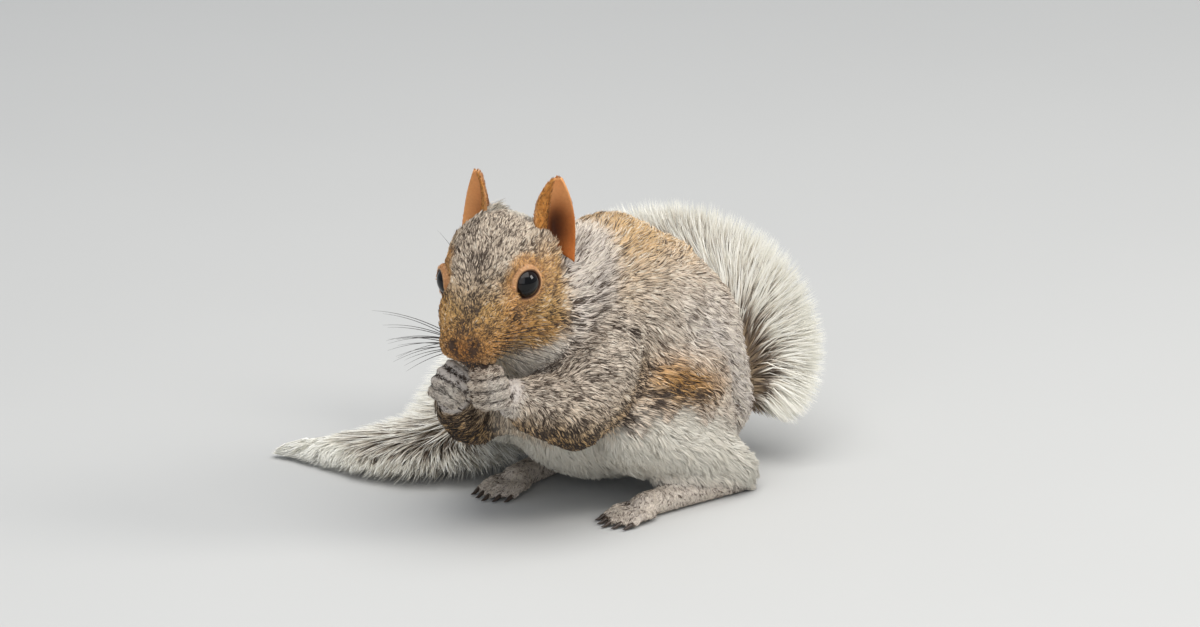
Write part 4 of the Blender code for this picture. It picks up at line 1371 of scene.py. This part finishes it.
# %% Whiskers
WHISKER_ROWS, WHISKERS_EACH, WHISKER_STEPS = 4, 4, 9
WHISKER_RADIUS, WHISKER_SAG = 0.15, 0.16
MORE_WHISKERS = (  # over the eye and under the cheek: root, way, length and radius
    ((9.0, -6.0, 15.5), (0.5, 0.1, 0.85), 13.0, 0.09),
    ((13.0, -1.0, -15.5), (0.6, 0.45, -0.6), 12.0, 0.09),
)
whiskers = []
for side in SIDES.values():
    for row in range(WHISKER_ROWS):
        for place in range(WHISKERS_EACH):
            root = (8.6 + 0.9 * place + 0.3 * row, -26.4 + 2.1 * place, -5.6 - 2.1 * row)
            length = 18.0 + 4.5 * place - 1.5 * row + chance.uniform(-2, 2)
            ahead = np.array((0.95, 0.10 + 0.14 * place, 0.10 - 0.17 * row))
            ahead = ahead + chance.normal(0, 0.06, 3)
            whiskers.append((side, root, ahead, length, WHISKER_RADIUS))
    whiskers += [(side, *more) for more in MORE_WHISKERS]
skin_tree = BVHTree.FromPolygons([Vector(point) for point in skin.points[:body_count]],
                                 skin.faces[:body_faces].tolist())
curves = []
for side, root, ahead, length, radius in whiskers:
    mirror = np.array((side, 1.0, 1.0))
    start = np.array(skin_tree.find_nearest(Vector(from_head(root * mirror)))[0])
    ahead = (unit(np.array(ahead)) * mirror) @ HEAD.T
    t = np.linspace(-0.02, 1, WHISKER_STEPS)[:, None]
    line = start + ahead * length * t + np.array((0, 0, -1.0)) * length * WHISKER_SAG * t**2
    curves.append((line.tolist(), (radius * (1 - 0.85 * t[:, 0])).tolist()))
whisker_piece = horns("whiskers", curves, 5)
print(len(claws), "claws and", len(whiskers), "whiskers")

# %% [markdown]
# ## Materials
# All hair shares one node group, which mixes the colour of a tuft from its markings, from how
# far along the hair a place is and from the tuft's own shade. A dark hair with a pale band is
# what a grizzled coat is made of, so the shade decides whether the band or the dark shows.

# %% Small helpers for nodes
def linear(red, green, blue):
    """A colour given from 0 to 255 as the eye sees it, in the linear values that nodes take."""
    seen = [value / 255 for value in (red, green, blue)]
    return (*(v / 12.92 if v <= 0.04045 else ((v + 0.055) / 1.055) ** 2.4 for v in seen), 1.0)


def feed(tree, socket, value):
    """Links a socket to another one, or sets its value."""
    if isinstance(value, bpy.types.NodeSocket):
        tree.links.new(value, socket)
    else:
        socket.default_value = value


def blend(tree, share, first, second):
    """A mix of two colours."""
    node = tree.nodes.new("ShaderNodeMix")
    node.data_type = "RGBA"
    for index, value in ((0, share), (6, first), (7, second)):
        feed(tree, node.inputs[index], value)
    return node.outputs[2]


def sums(tree, kind, first, second, clamp=False):
    """A sum, difference or product of two values."""
    node = tree.nodes.new("ShaderNodeMath")
    node.operation = kind
    node.use_clamp = clamp
    feed(tree, node.inputs[0], first)
    feed(tree, node.inputs[1], second)
    return node.outputs[0]


def soft_step(tree, value, low, high):
    """0 below low and 1 above high, with a smooth rise between."""
    node = tree.nodes.new("ShaderNodeMapRange")
    node.interpolation_type = "SMOOTHSTEP"
    for index, part in enumerate((value, low, high)):
        feed(tree, node.inputs[index], part)
    return node.outputs[0]


def attribute(tree, name):
    node = tree.nodes.new("ShaderNodeAttribute")
    node.attribute_name = name
    return node.outputs["Fac"]


def noise(tree, coordinates, scale, detail=3.0, roughness=0.6):
    node = tree.nodes.new("ShaderNodeTexNoise")
    feed(tree, node.inputs["Vector"], coordinates)
    for socket, value in (("Scale", scale), ("Detail", detail), ("Roughness", roughness)):
        node.inputs[socket].default_value = value
    return node.outputs["Fac"]


def object_place(tree):
    return tree.nodes.new("ShaderNodeTexCoord").outputs["Object"]


def material(name, roughness, specular=0.3):
    made = bpy.data.materials.new(name)
    made.use_nodes = True
    shader = made.node_tree.nodes["Principled BSDF"]
    shader.inputs["Roughness"].default_value = roughness
    shader.inputs["Specular IOR Level"].default_value = specular
    return made, made.node_tree, shader


# %% The colour of a hair
HAIR = {
    "deep": linear(90, 75, 62), "dark": linear(56, 48, 44), "band": linear(212, 195, 174),
    "tan": linear(216, 174, 110), "rust": linear(206, 134, 56), "rust_deep": linear(104, 64, 24),
    "silver": linear(216, 207, 199), "pale_tip": linear(226, 217, 200),
    "white": linear(216, 212, 200), "buff": linear(232, 176, 122),
}


def coat_group():
    """A node group: the colour of a hair from its markings, place along it and shade."""
    group = bpy.data.node_groups.new("grizzled_hair", "ShaderNodeTree")
    for name in (*MARK_NAMES, "along", "shade"):
        group.interface.new_socket(name, in_out="INPUT", socket_type="NodeSocketFloat")
    group.interface.new_socket("Color", in_out="OUTPUT", socket_type="NodeSocketColor")
    given = group.nodes.new("NodeGroupInput").outputs
    band = blend(group, given["tan"], HAIR["band"], HAIR["tan"])
    band = blend(group, given["rust"], band, HAIR["rust"])
    band = blend(group, given["silver"], band, HAIR["silver"])
    deep = blend(group, given["rust"], HAIR["deep"], HAIR["rust_deep"])
    # the dark marking darkens the hair, both for the fur's dark markings and for painted shade
    deep = blend(group, given["dark"], deep, HAIR["dark"])
    ringed = sums(group, "SUBTRACT", soft_step(group, given["along"], 0.15, 0.5),
                  soft_step(group, given["along"], 0.75, 1.0))
    light = sums(group, "ADD", given["shade"], sums(group, "MULTIPLY", ringed, 0.26))
    light = sums(group, "ADD", light, sums(group, "MULTIPLY", given["silver"], 0.08))
    light = sums(group, "SUBTRACT", light, sums(group, "MULTIPLY", given["dark"], 0.42))
    colour = blend(group, soft_step(group, light, 0.38, 0.72), deep, band)
    pale = sums(group, "MULTIPLY", soft_step(group, light, 0.85, 1.0), 0.7)
    pale = sums(group, "MULTIPLY", pale, sums(group, "SUBTRACT", 1.0, given["rust"], clamp=True))
    colour = blend(group, pale, colour, HAIR["pale_tip"])
    root = soft_step(group, given["along"], 0.0, 0.5)
    colour = blend(group, root, blend(group, 0.5, colour, HAIR["deep"]), colour)
    for name in ("buff", "white"):
        light_hair = blend(group, sums(group, "MULTIPLY", given["shade"], 0.35), HAIR[name], colour)
        colour = blend(group, given[name], colour, light_hair)
    put = group.nodes.new("NodeGroupOutput")
    group.links.new(colour, put.inputs["Color"])
    return group


hair_colour = coat_group()


def hair_node(tree, along, shade):
    node = tree.nodes.new("ShaderNodeGroup")
    node.node_tree = hair_colour
    for name in MARK_NAMES:
        feed(tree, node.inputs[name], attribute(tree, name))
    feed(tree, node.inputs["along"], along)
    feed(tree, node.inputs["shade"], shade)
    return node.outputs["Color"]


def coat_material():
    made, tree, shader = material("short_coat", 0.6, 0.25)
    colour = hair_node(tree, attribute(tree, "along"), attribute(tree, "shade"))
    feed(tree, shader.inputs["Base Color"], colour)
    return made


def skin_material():
    made, tree, shader = material("skin", 0.7, 0.25)
    place = object_place(tree)
    fine = noise(tree, place, 900.0)
    colour = hair_node(tree, 0.35, fine)
    inner = blend(tree, noise(tree, place, 260.0), linear(188, 98, 36), linear(226, 140, 70))
    # painted light: the glow lightens the inner ear
    inner = blend(tree, attribute(tree, "glow"), inner, linear(252, 180, 116))
    speckled = sums(tree, "MULTIPLY", noise(tree, place, 1100.0), 0.35)
    inner = blend(tree, speckled, inner, linear(158, 78, 34))
    # the dark marking here is painted shade in the ear's hollow
    inner = blend(tree, attribute(tree, "dark"), inner, linear(62, 34, 24))
    colour = blend(tree, attribute(tree, "inner"), colour, inner)
    colour = blend(tree, attribute(tree, "bare"), colour, linear(58, 28, 18))
    feed(tree, shader.inputs["Base Color"], colour)
    wet = sums(tree, "MULTIPLY", attribute(tree, "bare"), 0.35)
    feed(tree, shader.inputs["Roughness"], sums(tree, "SUBTRACT", 0.72, wet))
    bump = tree.nodes.new("ShaderNodeBump")
    bump.inputs["Strength"].default_value = 0.5
    bump.inputs["Distance"].default_value = 0.0004
    feed(tree, bump.inputs["Height"], fine)
    tree.links.new(bump.outputs["Normal"], shader.inputs["Normal"])
    return made


TAIL_BANDS = (  # how far along the hair, and its colour there
    (0.0, linear(132, 112, 90)), (0.18, linear(190, 168, 140)), (0.36, linear(168, 147, 121)),
    (0.47, linear(106, 92, 80)), (0.56, linear(140, 126, 112)), (0.66, linear(220, 211, 196)),
    (0.78, linear(250, 247, 236)), (1.0, linear(255, 253, 245)),
)


def tail_material():
    made, tree, shader = material("tail_hair", 0.55, 0.3)
    shade = attribute(tree, "shade")
    shift = sums(tree, "MULTIPLY", sums(tree, "SUBTRACT", shade, 0.5), 0.45)
    place = sums(tree, "ADD", attribute(tree, "along"), shift, clamp=True)
    ramp = tree.nodes.new("ShaderNodeValToRGB")
    stops = ramp.color_ramp.elements  # a new ramp has two
    for number, (where, colour) in enumerate(TAIL_BANDS):
        stop = stops[number] if number < 2 else stops.new(where)
        stop.position, stop.color = where, colour
    feed(tree, ramp.inputs["Fac"], place)
    feed(tree, shader.inputs["Base Color"], ramp.outputs["Color"])
    return made


def eye_material():
    made, tree, shader = material("eye", 0.05, 0.32)
    gaze = attribute(tree, "gaze")
    flecks = noise(tree, object_place(tree), 1500.0)
    iris = blend(tree, flecks, linear(16, 10, 8), linear(30, 18, 12))
    colour = blend(tree, soft_step(tree, gaze, 0.74, 0.80), iris, linear(5, 4, 5))
    feed(tree, shader.inputs["Base Color"], colour)
    return made


def streaked_material(name, roughness, specular, scale, first, second):
    """Two close shades, mixed by a fine noise."""
    made, tree, shader = material(name, roughness, specular)
    streaks = noise(tree, object_place(tree), scale)
    feed(tree, shader.inputs["Base Color"], blend(tree, streaks, first, second))
    return made


def wear(pieces, made):
    for piece in pieces:
        piece.data.materials.clear()
        piece.data.materials.append(made)


wear([skin_piece], skin_material())
wear(coats, coat_material())
wear(tail_coats, tail_material())
wear(eyeballs.values(), eye_material())
wear([claw_piece], streaked_material(
    "claw", 0.32, 0.5, 1800.0, linear(40, 32, 28), linear(84, 70, 60)))
wear([whisker_piece], streaked_material(
    "whisker", 0.4, 0.4, 400.0, linear(22, 17, 15), linear(52, 42, 36)))
print("materials:", [made.name for made in bpy.data.materials if made.users])

# %% [markdown]
# ## What each piece stands for
# The one skin replaces every flesh node, the ears and the tail, and the eyeballs replace the
# eyes. The coat rides on the same body.

# %% Tie the pieces to the frame
REPLACED = [name for name in frame["nodes"] if not name.startswith("eye_")]
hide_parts(*REPLACED)
for name, piece in eyeballs.items():
    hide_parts("eye_" + name)
for piece in [skin_piece, *coats, *tail_coats, *eyeballs.values(), claw_piece, whisker_piece]:
    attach(piece, "root")

# %% [markdown]
# ## Floor, light and camera
# A plain pale floor, a big soft lamp above, weaker ones in front and behind, and a pale sky all
# round. The camera stands low, a long way off with a long lens, at the animal's left front.

# %% Stage
FLOOR_SIZE = 12.0
bm = bmesh.new()
bmesh.ops.create_grid(bm, x_segments=1, y_segments=1, size=FLOOR_SIZE / 2)
floor = object_from(bm, "floor")
floor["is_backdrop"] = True
wear([floor], streaked_material(
    "floor", 0.8, 0.2, 3.0, linear(196, 196, 194), linear(202, 202, 200)))

world = bpy.data.worlds.new("sky")
world.use_nodes = True
sky = world.node_tree.nodes["Background"].inputs
sky["Color"].default_value = (0.80, 0.86, 0.95, 1.0)
sky["Strength"].default_value = 0.42
bpy.context.scene.world = world


LAMPS = (  # name, place, size, power and colour
    ("above", (0.3, -0.1, 1.35), 1.5, 20.0, (1.0, 0.98, 0.95)),
    ("front", (1.1, -1.2, 0.8), 1.3, 6.0, (0.95, 0.97, 1.0)),
    ("right", (1.1, 1.0, 1.0), 0.6, 10.0, (1.0, 0.97, 0.92)),
)
MIDDLE = Vector((0, 0, 0.06))


def lamp(name, place, size, power, colour):
    """A square soft lamp that faces the animal."""
    data = bpy.data.lights.new(name, "AREA")
    data.size, data.energy, data.color = size, power, colour
    made = bpy.data.objects.new(name, data)
    bpy.context.scene.collection.objects.link(made)
    made.location = place
    made.rotation_euler = (MIDDLE - Vector(place)).to_track_quat("-Z", "Y").to_euler()


for row in LAMPS:
    lamp(*row)

CAMERA_WAY, CAMERA_HEIGHT = 50.0, 17.0  # degrees round from -Y and above the ground
CAMERA_AWAY, LENS, SENSOR, FARTHEST_SEEN = 3.39, 300.0, 36.0, 50.0
AIM = Vector((0.0232, -0.0006, 0.062))
camera_data = bpy.data.cameras.new("camera")
camera_data.lens = LENS
camera_data.sensor_width = SENSOR
camera_data.clip_end = FARTHEST_SEEN
camera = bpy.data.objects.new("camera", camera_data)
bpy.context.scene.collection.objects.link(camera)
way, height = math.radians(CAMERA_WAY), math.radians(CAMERA_HEIGHT)
level = math.cos(height)
back = Vector((math.sin(way) * level, -math.cos(way) * level, math.sin(height)))
camera.location = AIM + back * CAMERA_AWAY
camera.rotation_euler = back.to_track_quat("Z", "Y").to_euler()
bpy.context.scene.camera = camera
bpy.context.scene.view_settings.view_transform = "Standard"

# %% Measure and finish
low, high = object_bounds()
past = (*(cad_low - low), *(high - cad_high))
print("past the solids' box by, mm:", [round(v / MM, 1) for v in past])
